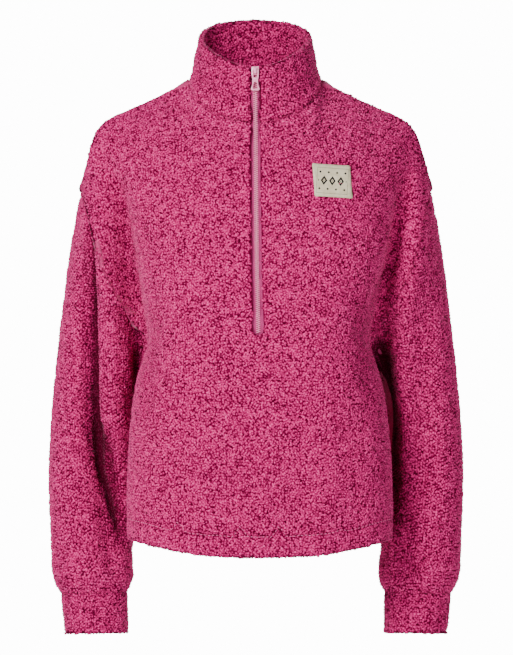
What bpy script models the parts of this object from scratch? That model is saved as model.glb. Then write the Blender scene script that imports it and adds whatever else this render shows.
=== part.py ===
"""Half-zip sherpa pullover with a stand collar, filled out as if worn, with nobody in it.

Metres, +Z up.  The front faces -Y and the wearer's left is +X.  The origin is the centre
of the neck, level with the points where the shoulder seams meet the collar.

The outer face of each cloth piece is a grid of points, worked out from the levels of the
body, the rings of the sleeves and the neckline.  Pieces that are sewn together share the
points of their seam, so their walls line up, and each stops a little short of the seam.
"""

import math
from collections import namedtuple

import bpy
from mathutils import Vector
from mathutils.bvhtree import BVHTree

# Cloth
FLEECE = 0.0040                 # wall of the pile fabric
COLLAR_RIM_WALL = 0.0065        # the collar is folded over and stitched at its rim
HEM_WALL = 0.0060               # the hem is turned up
SEAM_GAP = 0.0003
HEM_DEPTH = 0.028
HEM_GROOVE = 0.0018             # how far the hem's stitching pulls the pile in

# Grid of the panels
NECK_CELLS = 6
SHOULDER_CELLS = 10
SLIT_COLUMN = NECK_CELLS + SHOULDER_CELLS
FOLD_CELLS = 7                  # of these, from the neck column to the fold before the arm
NECK_SHARE = NECK_CELLS / (NECK_CELLS + SHOULDER_CELLS)
FOLD_SHARE = (NECK_CELLS + FOLD_CELLS) / (NECK_CELLS + SHOULDER_CELLS)
FOLD_SETTLE = 0.3               # part of the armhole over which the fold's column finds its place
BELOW_CELLS = 14                # from the hem up to the underarm
HEM_CELLS = 2                   # of these, in the turned-up hem
ABOVE_CELLS = 12                # from the underarm up to the shoulder seam
TOP_FADE = 0.5                  # part of the armhole over which a panel settles into its neckline
DRAFT_ROWS = 36                 # rows worked out above the underarm before they are evened out
RELAX_ROUNDS = 3
RELAX_START = 4                 # the first row that is evened out
RELAX_SIDE = 6                  # columns over which it fades out towards the side seam
SIDE_CROWDING = 0.75            # below 1 it brings a row's points closer together at the side
SLEEVE_RINGS = 24
COLLAR_CELLS = 4
CUFF_CELLS = 3
ROW_SAMPLES = 160
SHARP_ANGLE = math.radians(50)

# Zip
SLIT_WIDTH = 0.0130
ZIP_END_Z = -0.307
TAPE_WIDTH = 0.0130             # each half, from the middle to under the panel
TAPE_WALL = 0.0010
TAPE_CLEARANCE = 0.0009         # to the ends of the collar, which lean in a little
TAPE_TAIL = 0.0080              # how far the tapes go on under the cloth below the slit
TAPE_FOLD = 0.6                 # share of the collar's half tape that shows a line along it
CHAIN_WIDTH = 0.0060
CHAIN_WALL = 0.0024
SLIDER_WIDTH = 0.0098
SLIDER_LENGTH = 0.0115
SLIDER_WALL = 0.0040
SLIDER_DROP = 0.0028            # its middle below the collar's rim
SLIDER_EDGE = 0.0008
BRIDGE_WIDTH = 0.0034
BRIDGE_EDGE = 0.0005
BRIDGE_LENGTH = 0.0076
BRIDGE_RISE = 0.0036            # room under the bridge
BRIDGE_WALL = 0.0012
BRIDGE_ROOT = 0.0010            # how deep the bridge is sunk in the slider

# Pull tab, hung on the bridge by the bar at its top
PULL_AXIS_RISE = 0.0017         # the hinge axis, out from the slider's face
PULL_WALL = 0.0018
PULL_TOP = 0.0010
PULL_LENGTH = 0.0260            # below the axis
PULL_HEAD_WIDTH = 0.0088
PULL_WAIST_WIDTH = 0.0074
PULL_FOOT_WIDTH = 0.0112
PULL_CORNER = 0.0010
PULL_FLARE = 0.0080             # height over which the foot widens
WINDOW_WIDTH = 0.0046
WINDOW_LENGTH = 0.0080
EYE_WIDTH = 0.0066
EYE_LENGTH = 0.0090
EYE_FOOT = 0.0022               # width of the bar under the eye
EYE_NARROWING = 0.82            # the arch against the floor of the eye
ARCH_STEPS = 8

# Chest patch
PATCH_CENTRE = (0.0985, -0.1105)        # x, z
PATCH_SIZE = (0.0490, 0.0425)
PATCH_FALL = 0.060                      # how it slopes down towards the arm, for each unit across
PATCH_SLANT = 0.077                     # how its sides lean in towards the zip, for each unit up
PATCH_WALL = 0.0011
PATCH_LIFT = 0.0006
PATCH_CELLS = 8

# Corners that the pieces share, as x, z
NECK_FRONT_Z = -0.0340
NECK_BACK = (0.0620, 0.0200)            # y, z
NECK_POINT = (0.0860, 0.0180)
UNDERARM = (0.1435, -0.3185)
SHOULDER_TIP = (0.2275, -0.1210)
HEM_FRONT_Z = -0.5980
HEM_SIDE_Z = -0.5740
HEM_ROUND = 2.5                         # how late the hem rises towards the sides
NECK_ROUND = 0.9                        # how soon the front of the neckline rises

# The body at each height: half width of the chest or trunk, how far the front and the
# back stand out at the middle, where the front and the back turn in at the side, and how
# square the front and the back of the section are.
BodyLevel = namedtuple(
    "BodyLevel", "z half_width front back front_side back_side front_square back_square")
BODY_LEVELS = (
    BodyLevel(-0.598, 0.1690, 0.121, 0.110, 0.020, -0.020, 2.7, 2.0),
    BodyLevel(-0.560, 0.1725, 0.126, 0.114, 0.020, -0.020, 2.7, 2.0),
    BodyLevel(-0.500, 0.1720, 0.128, 0.115, 0.020, -0.020, 2.7, 2.0),
    BodyLevel(-0.433, 0.1680, 0.129, 0.114, 0.020, -0.020, 2.8, 2.1),
    BodyLevel(-0.380, 0.1615, 0.130, 0.112, 0.016, -0.016, 3.1, 2.3),
    BodyLevel(-0.345, 0.1520, 0.130, 0.110, 0.008, -0.008, 3.8, 2.4),
    BodyLevel(-0.3185, 0.1435, 0.130, 0.109, 0.000, 0.000, 4.3, 2.8),
    BodyLevel(-0.290, 0.1490, 0.130, 0.108, 0.006, 0.008, 4.0, 3.2),
    BodyLevel(-0.238, 0.1600, 0.129, 0.107, 0.018, 0.024, 3.3, 2.9),
    BodyLevel(-0.186, 0.1690, 0.127, 0.106, 0.028, 0.036, 3.0, 2.7),
    BodyLevel(-0.127, 0.1800, 0.123, 0.104, 0.036, 0.044, 2.8, 2.6),
    BodyLevel(-0.082, 0.1900, 0.119, 0.102, 0.041, 0.048, 2.7, 2.5),
    BodyLevel(-0.040, 0.2020, 0.117, 0.101, 0.040, 0.047, 2.7, 2.5),
    BodyLevel(0.030, 0.2300, 0.117, 0.101, 0.038, 0.046, 2.7, 2.5),
)
DEPTH_SQUARENESS = 2.2
ARM_BLEND = (0.0005, 0.0105)            # how softly chest and arm meet, at the underarm and above
ARM_BLEND_RISE = 0.040                  # height over which it changes

# The upper arm under the panels: its outermost x, half width, depth and the y of its crown.
ArmLevel = namedtuple("ArmLevel", "z reach half_width front back crown")
ARM_LEVELS = (
    ArmLevel(-0.3185, 0.2570, 0.052, 0.058, 0.056, 0.034),
    ArmLevel(-0.290, 0.2535, 0.050, 0.062, 0.057, 0.030),
    ArmLevel(-0.238, 0.2475, 0.043, 0.066, 0.058, 0.024),
    ArmLevel(-0.186, 0.2398, 0.037, 0.064, 0.057, 0.018),
    ArmLevel(-0.127, 0.2285, 0.032, 0.056, 0.052, 0.010),
    ArmLevel(-0.082, 0.2205, 0.032, 0.046, 0.046, 0.005),
    ArmLevel(-0.043, 0.2085, 0.034, 0.034, 0.034, 0.002),
    ArmLevel(0.000, 0.1300, 0.030, 0.010, 0.010, 0.000),
)

# The shoulder seam from the neck point to the shoulder tip, as x, z
SHOULDER_LINE = (
    (0.0860, 0.0180), (0.1040, 0.0120), (0.1385, -0.0040), (0.1735, -0.0195),
    (0.1905, -0.0272), (0.2015, -0.0355), (0.2085, -0.0450), (0.2160, -0.0640),
    (0.2210, -0.0840), (0.2250, -0.1030), (0.2275, -0.1210),
)
NECK_RISE = {-1: 0.013, 1: 0.040}       # how the front and back go on rising under the neckline
SHOULDER_DEPTH = 0.150                  # height over which the shoulder rounds into the chest
SHOULDER_SQUARENESS = (1.6, 1.5)        # of that rounding, downward and forward

# The armhole seam from the underarm to the shoulder tip, as x, z
ARMHOLE_LINE = (
    (0.1435, -0.3185), (0.1590, -0.2980), (0.1750, -0.2720), (0.1905, -0.2450),
    (0.2036, -0.2180), (0.2119, -0.1860), (0.2190, -0.1560), (0.2275, -0.1210),
)

# Each sleeve, from the armhole to the cuff: height and x of its outer and inner line,
# the y of its middle and its half depth.
SleeveRing = namedtuple("SleeveRing", "t outer_z outer_x inner_z inner_x middle_y half_depth")
SLEEVE_TABLE = (
    SleeveRing(0.00, -0.1210, 0.2275, -0.3185, 0.1435, 0.010, 0.058),
    SleeveRing(0.04, -0.1440, 0.2320, -0.3265, 0.1490, 0.015, 0.059),
    SleeveRing(0.08, -0.1660, 0.2363, -0.3370, 0.1515, 0.022, 0.059),
    SleeveRing(0.16, -0.2120, 0.2440, -0.3560, 0.1545, 0.034, 0.059),
    SleeveRing(0.28, -0.2780, 0.2522, -0.3920, 0.1590, 0.046, 0.058),
    SleeveRing(0.40, -0.3430, 0.2600, -0.4300, 0.1600, 0.053, 0.057),
    SleeveRing(0.55, -0.4200, 0.2670, -0.4820, 0.1600, 0.057, 0.055),
    SleeveRing(0.70, -0.4950, 0.2703, -0.5380, 0.1600, 0.058, 0.054),
    SleeveRing(0.84, -0.5650, 0.2680, -0.5880, 0.1615, 0.056, 0.054),
    SleeveRing(0.95, -0.6230, 0.2650, -0.6260, 0.1600, 0.052, 0.051),
    SleeveRing(1.00, -0.6460, 0.2540, -0.6440, 0.1675, 0.050, 0.039),
)
CUFF_END = SleeveRing(1.0, -0.6985, 0.2485, -0.6975, 0.1670, 0.048, 0.035)
CUFF_BULGE = 0.0006
ARMHOLE_FADE = 0.24                     # part of the sleeve over which the armhole's shape fades
SLEEVE_SQUARENESS = 2.2
COLUMN_FADE = 0.15                      # part before the cuff where the columns leave the folds

# Long folds of the sleeves: angle round the sleeve from its outer line over the front,
# at the armhole and at the cuff, depth, width as an angle, and where along it they run.
# The first fold of each list is the main one of the front, the second that of the back,
# and a line of the grid's points follows each.
Fold = namedtuple("Fold", "start_angle end_angle depth width start end")
FOLD_ENDS = 0.6                         # below 1 a fold reaches its depth sooner
LEFT_SLEEVE_FOLDS = (
    Fold(64, 112, 0.0070, 18, 0.02, 0.98),
    Fold(250, 282, 0.0090, 19, 0.10, 0.85),
    Fold(146, 150, 0.0060, 18, 0.12, 0.80),
)
RIGHT_SLEEVE_FOLDS = (
    Fold(56, 126, 0.0160, 17, 0.03, 0.99),
    Fold(262, 240, 0.0090, 19, 0.15, 0.90),
    Fold(146, 150, 0.0060, 18, 0.08, 0.45),
)

# Soft upright folds of the trunk: place across as a share of the half width, depth,
# width in the same share, and the height below which they run.
Flute = namedtuple("Flute", "place depth width top")
FLUTE_FADE = 0.16                       # height over which a flute grows to its depth
FLUTE_EDGE = 3.0                        # how fast the flutes come in from the side seam
FRONT_FLUTES = (
    Flute(-0.62, 0.0035, 0.13, -0.34),
    Flute(-0.20, 0.0025, 0.14, -0.36),
    Flute(0.30, 0.0030, 0.12, -0.38),
    Flute(0.70, 0.0035, 0.12, -0.33),
)
BACK_FLUTES = (
    Flute(-0.55, 0.0050, 0.14, -0.20),
    Flute(0.05, 0.0035, 0.16, -0.30),
    Flute(0.60, 0.0045, 0.13, -0.22),
)

# Where the chest lies over the sleeve, the wearer's left side reaches further out, and
# the trunk hangs a little to that side: height and shift.
SIDEWAYS_SHIFT = (
    (-0.60, 0.0050), (-0.42, 0.0048), (-0.30, 0.0030), (-0.20, 0.0010), (0.03, -0.0010),
)
SLEEVE_LEAN = (
    (-0.65, 0.0), (-0.60, 0.0), (-0.54, 0.0050), (-0.42, 0.0055), (-0.3185, 0.0030),
)
FOLD_LEAN = (
    (-0.60, 0.0), (-0.3185, 0.0), (-0.25, 0.0040), (-0.15, 0.0060), (-0.06, 0.0020), (0.03, 0.0),
)

# Collar rim
RIM_HALF_WIDTH = 0.0730
RIM_FRONT_Y = -0.0790
RIM_BACK_Y = 0.0540
RIM_FRONT_Z = 0.0340
RIM_BACK_Z = 0.0990
RIM_RISE = 0.60                         # how soon the rim rises from the front to the sides
COLLAR_BULGE = 0.0015
COLLAR_SET_IN = 0.75                    # below 1 the collar leaves the neckline at an angle

COLOURS = {
    "sherpa": (0.420, 0.075, 0.190),
    "tape": (0.720, 0.300, 0.450),
    "zip": (0.900, 0.520, 0.640),
    "patch": (0.780, 0.720, 0.640),
}

TINY = 1e-9
FRONT, BACK = -1, 1
LEFT, RIGHT = 1, -1                     # the wearer's


# ---------------------------------------------------------------- curves and tables

def along(knots, values, t):
    """The value at t of a smooth curve through values, which stand at rising knots."""
    last = len(knots) - 1
    if t <= knots[0]:
        return values[0]
    if t >= knots[last]:
        return values[last]
    cell = max(i for i in range(last) if knots[i] <= t)
    width = knots[cell + 1] - knots[cell]

    def slope(i):
        low, high = max(i - 1, 0), min(i + 1, last)
        return (values[high] - values[low]) / (knots[high] - knots[low])

    s = (t - knots[cell]) / width
    start = (1 + 2 * s) * (1 - s) ** 2 * values[cell] + s * s * (3 - 2 * s) * values[cell + 1]
    return start + width * (s * (1 - s) ** 2 * slope(cell) - s * s * (1 - s) * slope(cell + 1))


def level(table, t):
    """A row of the table, worked out between its rows at t, its first column."""
    knots, *columns = zip(*table)
    return type(table[0])(t, *(along(knots, column, t) for column in columns))


def shift_at(table, z):
    heights, shifts = zip(*table)
    return along(heights, shifts, z)


def spread(points, cells):
    """Points evenly spaced along a line through the given points."""
    lengths = [0.0]
    for a, b in zip(points, points[1:]):
        lengths.append(lengths[-1] + (b - a).length)
    result = []
    step = 0
    for i in range(cells + 1):
        target = lengths[-1] * i / cells
        while step < len(points) - 2 and lengths[step + 1] < target:
            step += 1
        span = max(lengths[step + 1] - lengths[step], TINY)
        share = min(max((target - lengths[step]) / span, 0.0), 1.0)
        result.append(points[step].lerp(points[step + 1], share))
    return result


def line_point(line, s):
    """A point at share s of the way along a smooth line through x, z corners."""
    knots = [0.0]
    for a, b in zip(line, line[1:]):
        knots.append(knots[-1] + math.dist(a, b))
    t = s * knots[-1]
    return tuple(along(knots, [point[i] for point in line], t) for i in (0, 1))


def smooth_step(s):
    s = min(max(s, 0.0), 1.0)
    return s * s * (3 - 2 * s)


def bell(distance, width):
    return math.exp(-(distance / width) ** 2)


# ---------------------------------------------------------------- the body's surface

def shoulder_height(x, face):
    """Height of the shoulder line above x; towards the neck it goes on as if there were none."""
    if x < NECK_POINT[0]:
        return NECK_POINT[1] + NECK_RISE[face] * (1 - (x / NECK_POINT[0]) ** 2)
    return along([p[0] for p in SHOULDER_LINE], [p[1] for p in SHOULDER_LINE], x)


def shoulder_round(drop):
    """How full the chest is at a drop below the shoulder line, from 0 to 1."""
    left = 1 - min(max(drop / SHOULDER_DEPTH, 0.0), 1.0)
    downward, forward = SHOULDER_SQUARENESS
    return (1 - left ** downward) ** (1 / forward)


def flute_depth(share, z, flutes):
    depth = 0.0
    for flute in flutes:
        fade = smooth_step((flute.top - z) / FLUTE_FADE)
        depth += fade * flute.depth * bell(share - flute.place, flute.width)
    return depth


def fold_x(z, side):
    """Where the chest ends and the fold before the arm lies."""
    return level(BODY_LEVELS, z).half_width + side * shift_at(FOLD_LEAN, z)


def body_y(x, z, side, face):
    """The y of the front or back of the body at x, z: chest and upper arm in one."""
    body = level(BODY_LEVELS, z)
    arm = level(ARM_LEVELS, z)
    half_width = fold_x(z, side)
    middle = body.front if face == FRONT else body.back
    edge = body.front_side if face == FRONT else body.back_side
    share = min(x / half_width, 1.0)
    square = body.front_square if face == FRONT else body.back_square
    fullness = (1 - share ** square) ** (1 / DEPTH_SQUARENESS)
    chest = (edge + (middle - edge) * fullness) * shoulder_round(shoulder_height(x, face) - z)
    flutes = FRONT_FLUTES if face == FRONT else BACK_FLUTES
    chest -= flute_depth(side * share, z, flutes) * min(1.0, FLUTE_EDGE * fullness)
    reach = (x - arm.reach + arm.half_width) / arm.half_width
    arm_depth = arm.front if face == FRONT else arm.back
    lobe = arm_depth * math.sqrt(max(1 - reach * reach, 0.0)) + face * arm.crown
    if abs(reach) >= 1:
        lobe = face * arm.crown
    if z <= UNDERARM[1]:
        return face * chest
    tight, soft = ARM_BLEND
    blend = tight + (soft - tight) * smooth_step((z - UNDERARM[1]) / ARM_BLEND_RISE)
    near = max(blend - abs(chest - lobe), 0.0) / blend
    return face * (max(chest, lobe) + near * near * blend / 4)


def trunk_row(row, side, face):
    """Half a row of the trunk, from the middle to the side seam."""
    hem_share = HEM_DEPTH / (ZIP_END_Z - HEM_FRONT_Z)
    if row <= HEM_CELLS:
        rise = hem_share * row / HEM_CELLS
    else:
        rise = hem_share + (1 - hem_share) * (row - HEM_CELLS) / (BELOW_CELLS - HEM_CELLS)
    middle_z = HEM_FRONT_Z + rise * (ZIP_END_Z - HEM_FRONT_Z)
    side_z = HEM_SIDE_Z + rise * (UNDERARM[1] - HEM_SIDE_Z)
    points = []
    for i in range(ROW_SAMPLES + 1):
        angle = math.pi / 2 * i / ROW_SAMPLES
        share = math.sin(angle) ** SIDE_CROWDING
        z = middle_z + (side_z - middle_z) * share ** HEM_ROUND
        x = share * fold_x(z, side)
        y = body_y(x, z, side, face)
        if row == HEM_CELLS:
            y -= face * HEM_GROOVE
        points.append(Vector((x, y, z)))
    return split_row(from_slit(points))


def arc_shares(points):
    """How far along a line each of its points lies, from 0 to 1."""
    lengths = [0.0]
    for a, b in zip(points, points[1:]):
        lengths.append(lengths[-1] + (b - a).length)
    return [length / lengths[-1] for length in lengths]


def from_slit(points):
    """The part of a row that starts at the slit's edge."""
    slit = SLIT_WIDTH / 2
    first = next(i for i, p in enumerate(points) if p.x > slit)
    before = points[first - 1]
    edge = before.lerp(points[first], (slit - before.x) / (points[first].x - before.x))
    return [edge] + points[first:]


def split_row(points, neck_share=NECK_SHARE, fold_share=FOLD_SHARE):
    """A row's points, evenly spaced from the slit to its neck column, the fold and the edge."""
    shares = arc_shares(points)
    neck = max(i for i, share in enumerate(shares) if share <= neck_share + TINY)
    fold = max(i for i, share in enumerate(shares) if share <= fold_share + TINY)
    row = spread(points[:neck + 1], NECK_CELLS)[:-1]
    row += spread(points[neck:fold + 1], FOLD_CELLS)[:-1]
    return row + spread(points[fold:], SHOULDER_CELLS - FOLD_CELLS)


def neckline_point(share, face):
    """A point of the neckline from its middle, share 0, to the neck point, share 1."""
    angle = share * math.pi / 2
    x = NECK_POINT[0] * math.sin(angle)
    side_share = 1 - math.cos(angle)
    if face == FRONT:
        z = NECK_FRONT_Z + (NECK_POINT[1] - NECK_FRONT_Z) * side_share ** NECK_ROUND
        return Vector((x, body_y(x, z, 0, FRONT), z))
    depth, height = NECK_BACK
    z = height + (NECK_POINT[1] - height) * side_share
    return Vector((x, depth * math.cos(angle), z))


def seam_top(face):
    """The neckline and the shoulder seam of half a panel."""
    slit_share = 2 / math.pi * math.asin(SLIT_WIDTH / 2 / NECK_POINT[0])
    neck = []
    for i in range(ROW_SAMPLES + 1):
        share = slit_share + (1 - slit_share) * i / ROW_SAMPLES
        neck.append(neckline_point(share, face))
    shoulder = []
    for i in range(ROW_SAMPLES + 1):
        x, z = line_point(SHOULDER_LINE, i / ROW_SAMPLES)
        shoulder.append(Vector((x, level(ARM_LEVELS, z).crown, z)))
    shoulder[0].y = 0.0
    neck[-1] = shoulder[0].copy()
    return spread(neck, NECK_CELLS)[:-1] + spread(shoulder, SHOULDER_CELLS)


def yoke_row(rise, side, face, top):
    """Half a row at a share of the way up the armhole, from the middle to the armhole seam."""
    neck_z = top[0].z
    edge = Vector(line_point(ARMHOLE_LINE, rise))
    middle = Vector((SLIT_WIDTH / 2, ZIP_END_Z + rise * (neck_z - ZIP_END_Z)))
    tip = Vector(SHOULDER_TIP)
    top_middle = Vector((SLIT_WIDTH / 2, neck_z))
    cells = NECK_CELLS + SHOULDER_CELLS
    points = []
    for i in range(ROW_SAMPLES + 1):
        share = math.sin(math.pi / 2 * i / ROW_SAMPLES)
        place = share * cells
        cell = min(int(place), cells - 1)
        bend = top[cell].lerp(top[cell + 1], place - cell)
        bend = Vector((bend.x, bend.z)) - top_middle.lerp(tip, share)
        x, z = middle.lerp(edge, share) + bend * rise
        if rise == 0:
            z = middle.y + (edge.y - middle.y) * share ** HEM_ROUND
        points.append(Vector((x, body_y(x, z, side, face), z)))
    shares = arc_shares(points)
    corner = round(ROW_SAMPLES * math.asin(NECK_SHARE) * 2 / math.pi)
    neck_share = NECK_SHARE + (shares[corner] - NECK_SHARE) * rise
    inside = [share for p, share in zip(points, shares) if p.x < fold_x(p.z, side)]
    settle = smooth_step(rise / FOLD_SETTLE) * smooth_step((1 - rise) / FOLD_SETTLE)
    return split_row(points, neck_share, FOLD_SHARE + (inside[-1] - FOLD_SHARE) * settle)


def half_panel(side, face):
    """Rows of points of half a panel, from the hem to the neckline and shoulder seam."""
    top = seam_top(face)
    rows = [trunk_row(row, side, face) for row in range(BELOW_CELLS + 1)]
    draft = [rows[-1]]
    draft += [yoke_row(row / DRAFT_ROWS, side, face, top) for row in range(1, DRAFT_ROWS + 1)]
    miss = [a - b for a, b in zip(top, draft[-1])]
    for row, points in enumerate(draft):
        hold = smooth_step(1 - (1 - row / DRAFT_ROWS) / TOP_FADE)
        draft[row] = [p + m * hold for p, m in zip(points, miss)]
    columns = [spread([points[i] for points in draft], ABOVE_CELLS) for i in range(len(top))]
    rows += [[column[row] for column in columns] for row in range(1, ABOVE_CELLS)]
    rows.append(top)
    return relax(rows, RELAX_ROUNDS)


def relax(rows, rounds):
    """Evens out the columns of a grid above its hem, with its border held."""
    for _ in range(rounds):
        fresh = [list(row) for row in rows]
        for j in range(RELAX_START, len(rows) - 1):
            for i in range(1, len(rows[j]) - 1):
                loose = 0.5
                if j <= BELOW_CELLS + 1:
                    loose *= min((len(rows[j]) - 1 - i) / RELAX_SIDE, 1)
                fresh[j][i] = rows[j][i].lerp((rows[j - 1][i] + rows[j + 1][i]) / 2, loose)
        rows = fresh
    return rows


def panel(face):
    """A whole panel, from the wearer's right edge to the left one, with the zip's cell between."""
    left = half_panel(LEFT, face)
    right = half_panel(RIGHT, face)
    rows = []
    for left_row, right_row in zip(left, right):
        mirrored = [Vector((-p.x, p.y, p.z)) for p in reversed(right_row)]
        row = mirrored + left_row
        rows.append([Vector((p.x + shift_at(SIDEWAYS_SHIFT, p.z), p.y, p.z)) for p in row])
    return rows


def join_seams(front, back):
    """Gives the back the front's points where the two are sewn, at the sides and shoulders."""
    cells = len(front[0]) - 1
    for j, row in enumerate(front):
        if j <= BELOW_CELLS:
            back[j][0] = row[0]
            back[j][cells] = row[cells]
    for i in range(SHOULDER_CELLS + 1):
        back[-1][i] = front[-1][i]
        back[-1][cells - i] = front[-1][cells - i]


# ---------------------------------------------------------------- sleeves, cuffs and collar

def ring_point(ring, angle, side, depth=0.0):
    """A point round the sleeve: 0 at its outer line, over the front to 180 at the inner line."""
    outer = Vector((ring.outer_x, 0.0, ring.outer_z))
    inner = Vector((ring.inner_x + side * shift_at(SLEEVE_LEAN, ring.inner_z), 0.0, ring.inner_z))
    middle = (outer + inner) / 2
    arm = (outer - inner) / 2
    power = 2 / SLEEVE_SQUARENESS
    out = math.copysign(abs(math.cos(angle)) ** power, math.cos(angle))
    forward = math.copysign(abs(math.sin(angle)) ** power, math.sin(angle))
    reach = 1 - depth / arm.length
    point = middle + arm * out * reach
    point.y = ring.middle_y - ring.half_depth * forward * (1 - depth / ring.half_depth)
    point.x *= side
    return point


def column_angle(folds, t, share):
    """The angle of a column of points round the sleeve, drawn over to the main folds."""
    angle = 2 * math.pi * share
    fold = folds[0] if share < 0.5 else folds[1]
    natural = 90 if share < 0.5 else 270
    pull = math.radians(fold.start_angle + (fold.end_angle - fold.start_angle) * t - natural)
    return angle + pull * abs(math.sin(angle)) * smooth_step((1 - t) / COLUMN_FADE)


def fold_depth(folds, t, angle):
    depth = 0.0
    for fold in folds:
        if fold.start < t < fold.end:
            share = (t - fold.start) / (fold.end - fold.start)
            place = fold.start_angle + (fold.end_angle - fold.start_angle) * share
            away = (math.degrees(angle) - place + 180) % 360 - 180
            depth += fold.depth * math.sin(math.pi * share) ** FOLD_ENDS * bell(away, fold.width)
    return depth


def armhole(front, back, side):
    """The seam round the armhole, from the shoulder tip over the front to the underarm and back."""
    column = -1 if side == LEFT else 0
    down = [front[j][column] for j in range(len(front) - 1, BELOW_CELLS - 1, -1)]
    up = [back[j][column] for j in range(BELOW_CELLS + 1, len(back) - 1)]
    return down + up


def sleeve(loop, side, folds):
    """Rings of points from the cuff seam up to the armhole."""
    count = len(loop)
    start = level(SLEEVE_TABLE, 0.0)
    rows = []
    for k in range(SLEEVE_RINGS + 1):
        t = k / SLEEVE_RINGS
        ring = level(SLEEVE_TABLE, t)
        hold = 1 - smooth_step(t / ARMHOLE_FADE)
        row = []
        for i in range(count):
            angle = column_angle(folds, t, i / count)
            point = ring_point(ring, angle, side, fold_depth(folds, t, angle))
            at_armhole = ring_point(start, column_angle(folds, 0.0, i / count), side)
            row.append(point + (loop[i] - at_armhole) * hold)
        rows.append(row)
    rows[0] = list(loop)
    return rows[::-1]


def cuff(sleeve_end, side):
    """Rings of points from the open end of the cuff up to the sleeve."""
    count = len(sleeve_end)
    end = [ring_point(CUFF_END, 2 * math.pi * i / count, side) for i in range(count)]
    middle = sum(end, Vector()) / count
    rows = []
    for k in range(CUFF_CELLS + 1):
        share = k / CUFF_CELLS
        row = []
        for low, high in zip(end, sleeve_end):
            point = low.lerp(high, share)
            out = Vector((point.x - middle.x, point.y - middle.y, 0)).normalized()
            row.append(point + out * CUFF_BULGE * math.sin(math.pi * share))
        rows.append(row)
    rows[-1] = list(sleeve_end)
    return rows


def rim_point(angle):
    """A point of the collar's rim: 0 at the middle of the front, 180 at the back."""
    x = RIM_HALF_WIDTH * math.sin(angle)
    reach = RIM_FRONT_Y if math.cos(angle) > 0 else -RIM_BACK_Y
    rise = (math.sin(angle / 2) ** 2) ** RIM_RISE
    return Vector((x, reach * math.cos(angle), RIM_FRONT_Z + (RIM_BACK_Z - RIM_FRONT_Z) * rise))


def collar(front, back):
    """Rows from the neckline to the rim, from the wearer's right of the zip round to the left."""
    middle = len(front[0]) // 2
    base = [front[-1][i] for i in range(middle - 1, middle - NECK_CELLS - 2, -1)]
    base += [back[-1][i] for i in range(SHOULDER_CELLS + 1, len(back[0]) - SHOULDER_CELLS)]
    base += [front[-1][i] for i in range(middle + NECK_CELLS - 1, middle - 1, -1)]
    slit_angle = math.asin(SLIT_WIDTH / 2 / RIM_HALF_WIDTH)
    rim = []
    for i in range(ROW_SAMPLES + 1):
        turn = slit_angle + (2 * math.pi - 2 * slit_angle) * i / ROW_SAMPLES
        point = rim_point(turn if turn < math.pi else 2 * math.pi - turn)
        point.x = -abs(point.x) if turn < math.pi else abs(point.x)
        point.x += shift_at(SIDEWAYS_SHIFT, point.z)
        rim.append(point)
    rim = spread(rim, len(base) - 1)
    rows = []
    for k in range(COLLAR_CELLS + 1):
        share = k / COLLAR_CELLS
        row = []
        for low, high in zip(base, rim):
            point = low.lerp(high, share ** COLLAR_SET_IN)
            point.z = low.z + (high.z - low.z) * share
            out = Vector((point.x, point.y, 0)).normalized()
            row.append(point + out * COLLAR_BULGE * math.sin(math.pi * share))
        rows.append(row)
    rows[0] = base
    return rows


# ---------------------------------------------------------------- walls

def point_key(point):
    return tuple(round(value, 6) for value in point)


def grid_cells(rows, closed, gap):
    """Corner indices of the cells of a grid, without those that gap names."""
    columns = len(rows[0])
    for j in range(len(rows) - 1):
        for i in range(columns if closed else columns - 1):
            if not gap(i, j):
                following = (i + 1) % columns
                yield (j, i), (j, following), (j + 1, following), (j + 1, i)


def shared_normals(grids):
    """Outward directions at all points, averaged over every piece that meets there."""
    normals = {}
    for rows, closed, gap in grids:
        for corners in grid_cells(rows, closed, gap):
            a, b, c, d = (rows[j][i] for j, i in corners)
            normal = (c - a).cross(d - b)
            for point in (a, b, c, d):
                key = point_key(point)
                normals[key] = normals.get(key, Vector()) + normal
    return {key: normal.normalized() for key, normal in normals.items()}


def pulled_in(rows, closed, free=()):
    """A grid with its sewn borders half a seam gap short."""
    result = [[point.copy() for point in row] for row in rows]
    columns = len(rows[0])
    half = SEAM_GAP / 2

    def move(j, i, towards_j, towards_i):
        step = (rows[towards_j][towards_i] - rows[j][i]).normalized() * half
        result[j][i] += step

    for i in range(columns):
        if "first" not in free:
            move(0, i, 1, i)
        if "last" not in free:
            move(-1, i, -2, i)
    if not closed:
        for j in range(len(rows)):
            move(j, 0, j, 1)
            move(j, columns - 1, j, columns - 2)
    return result


def in_slit(i, j):
    return i == SLIT_COLUMN and j >= BELOW_CELLS


def no_gap(i, j):
    return False


def panel_wall(j):
    return HEM_WALL if j < HEM_CELLS else FLEECE


def collar_wall(j):
    return FLEECE + (COLLAR_RIM_WALL - FLEECE) * j / COLLAR_CELLS


def patch_wall(j):
    return PATCH_WALL


def sleeve_wall(j):
    return FLEECE


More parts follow.
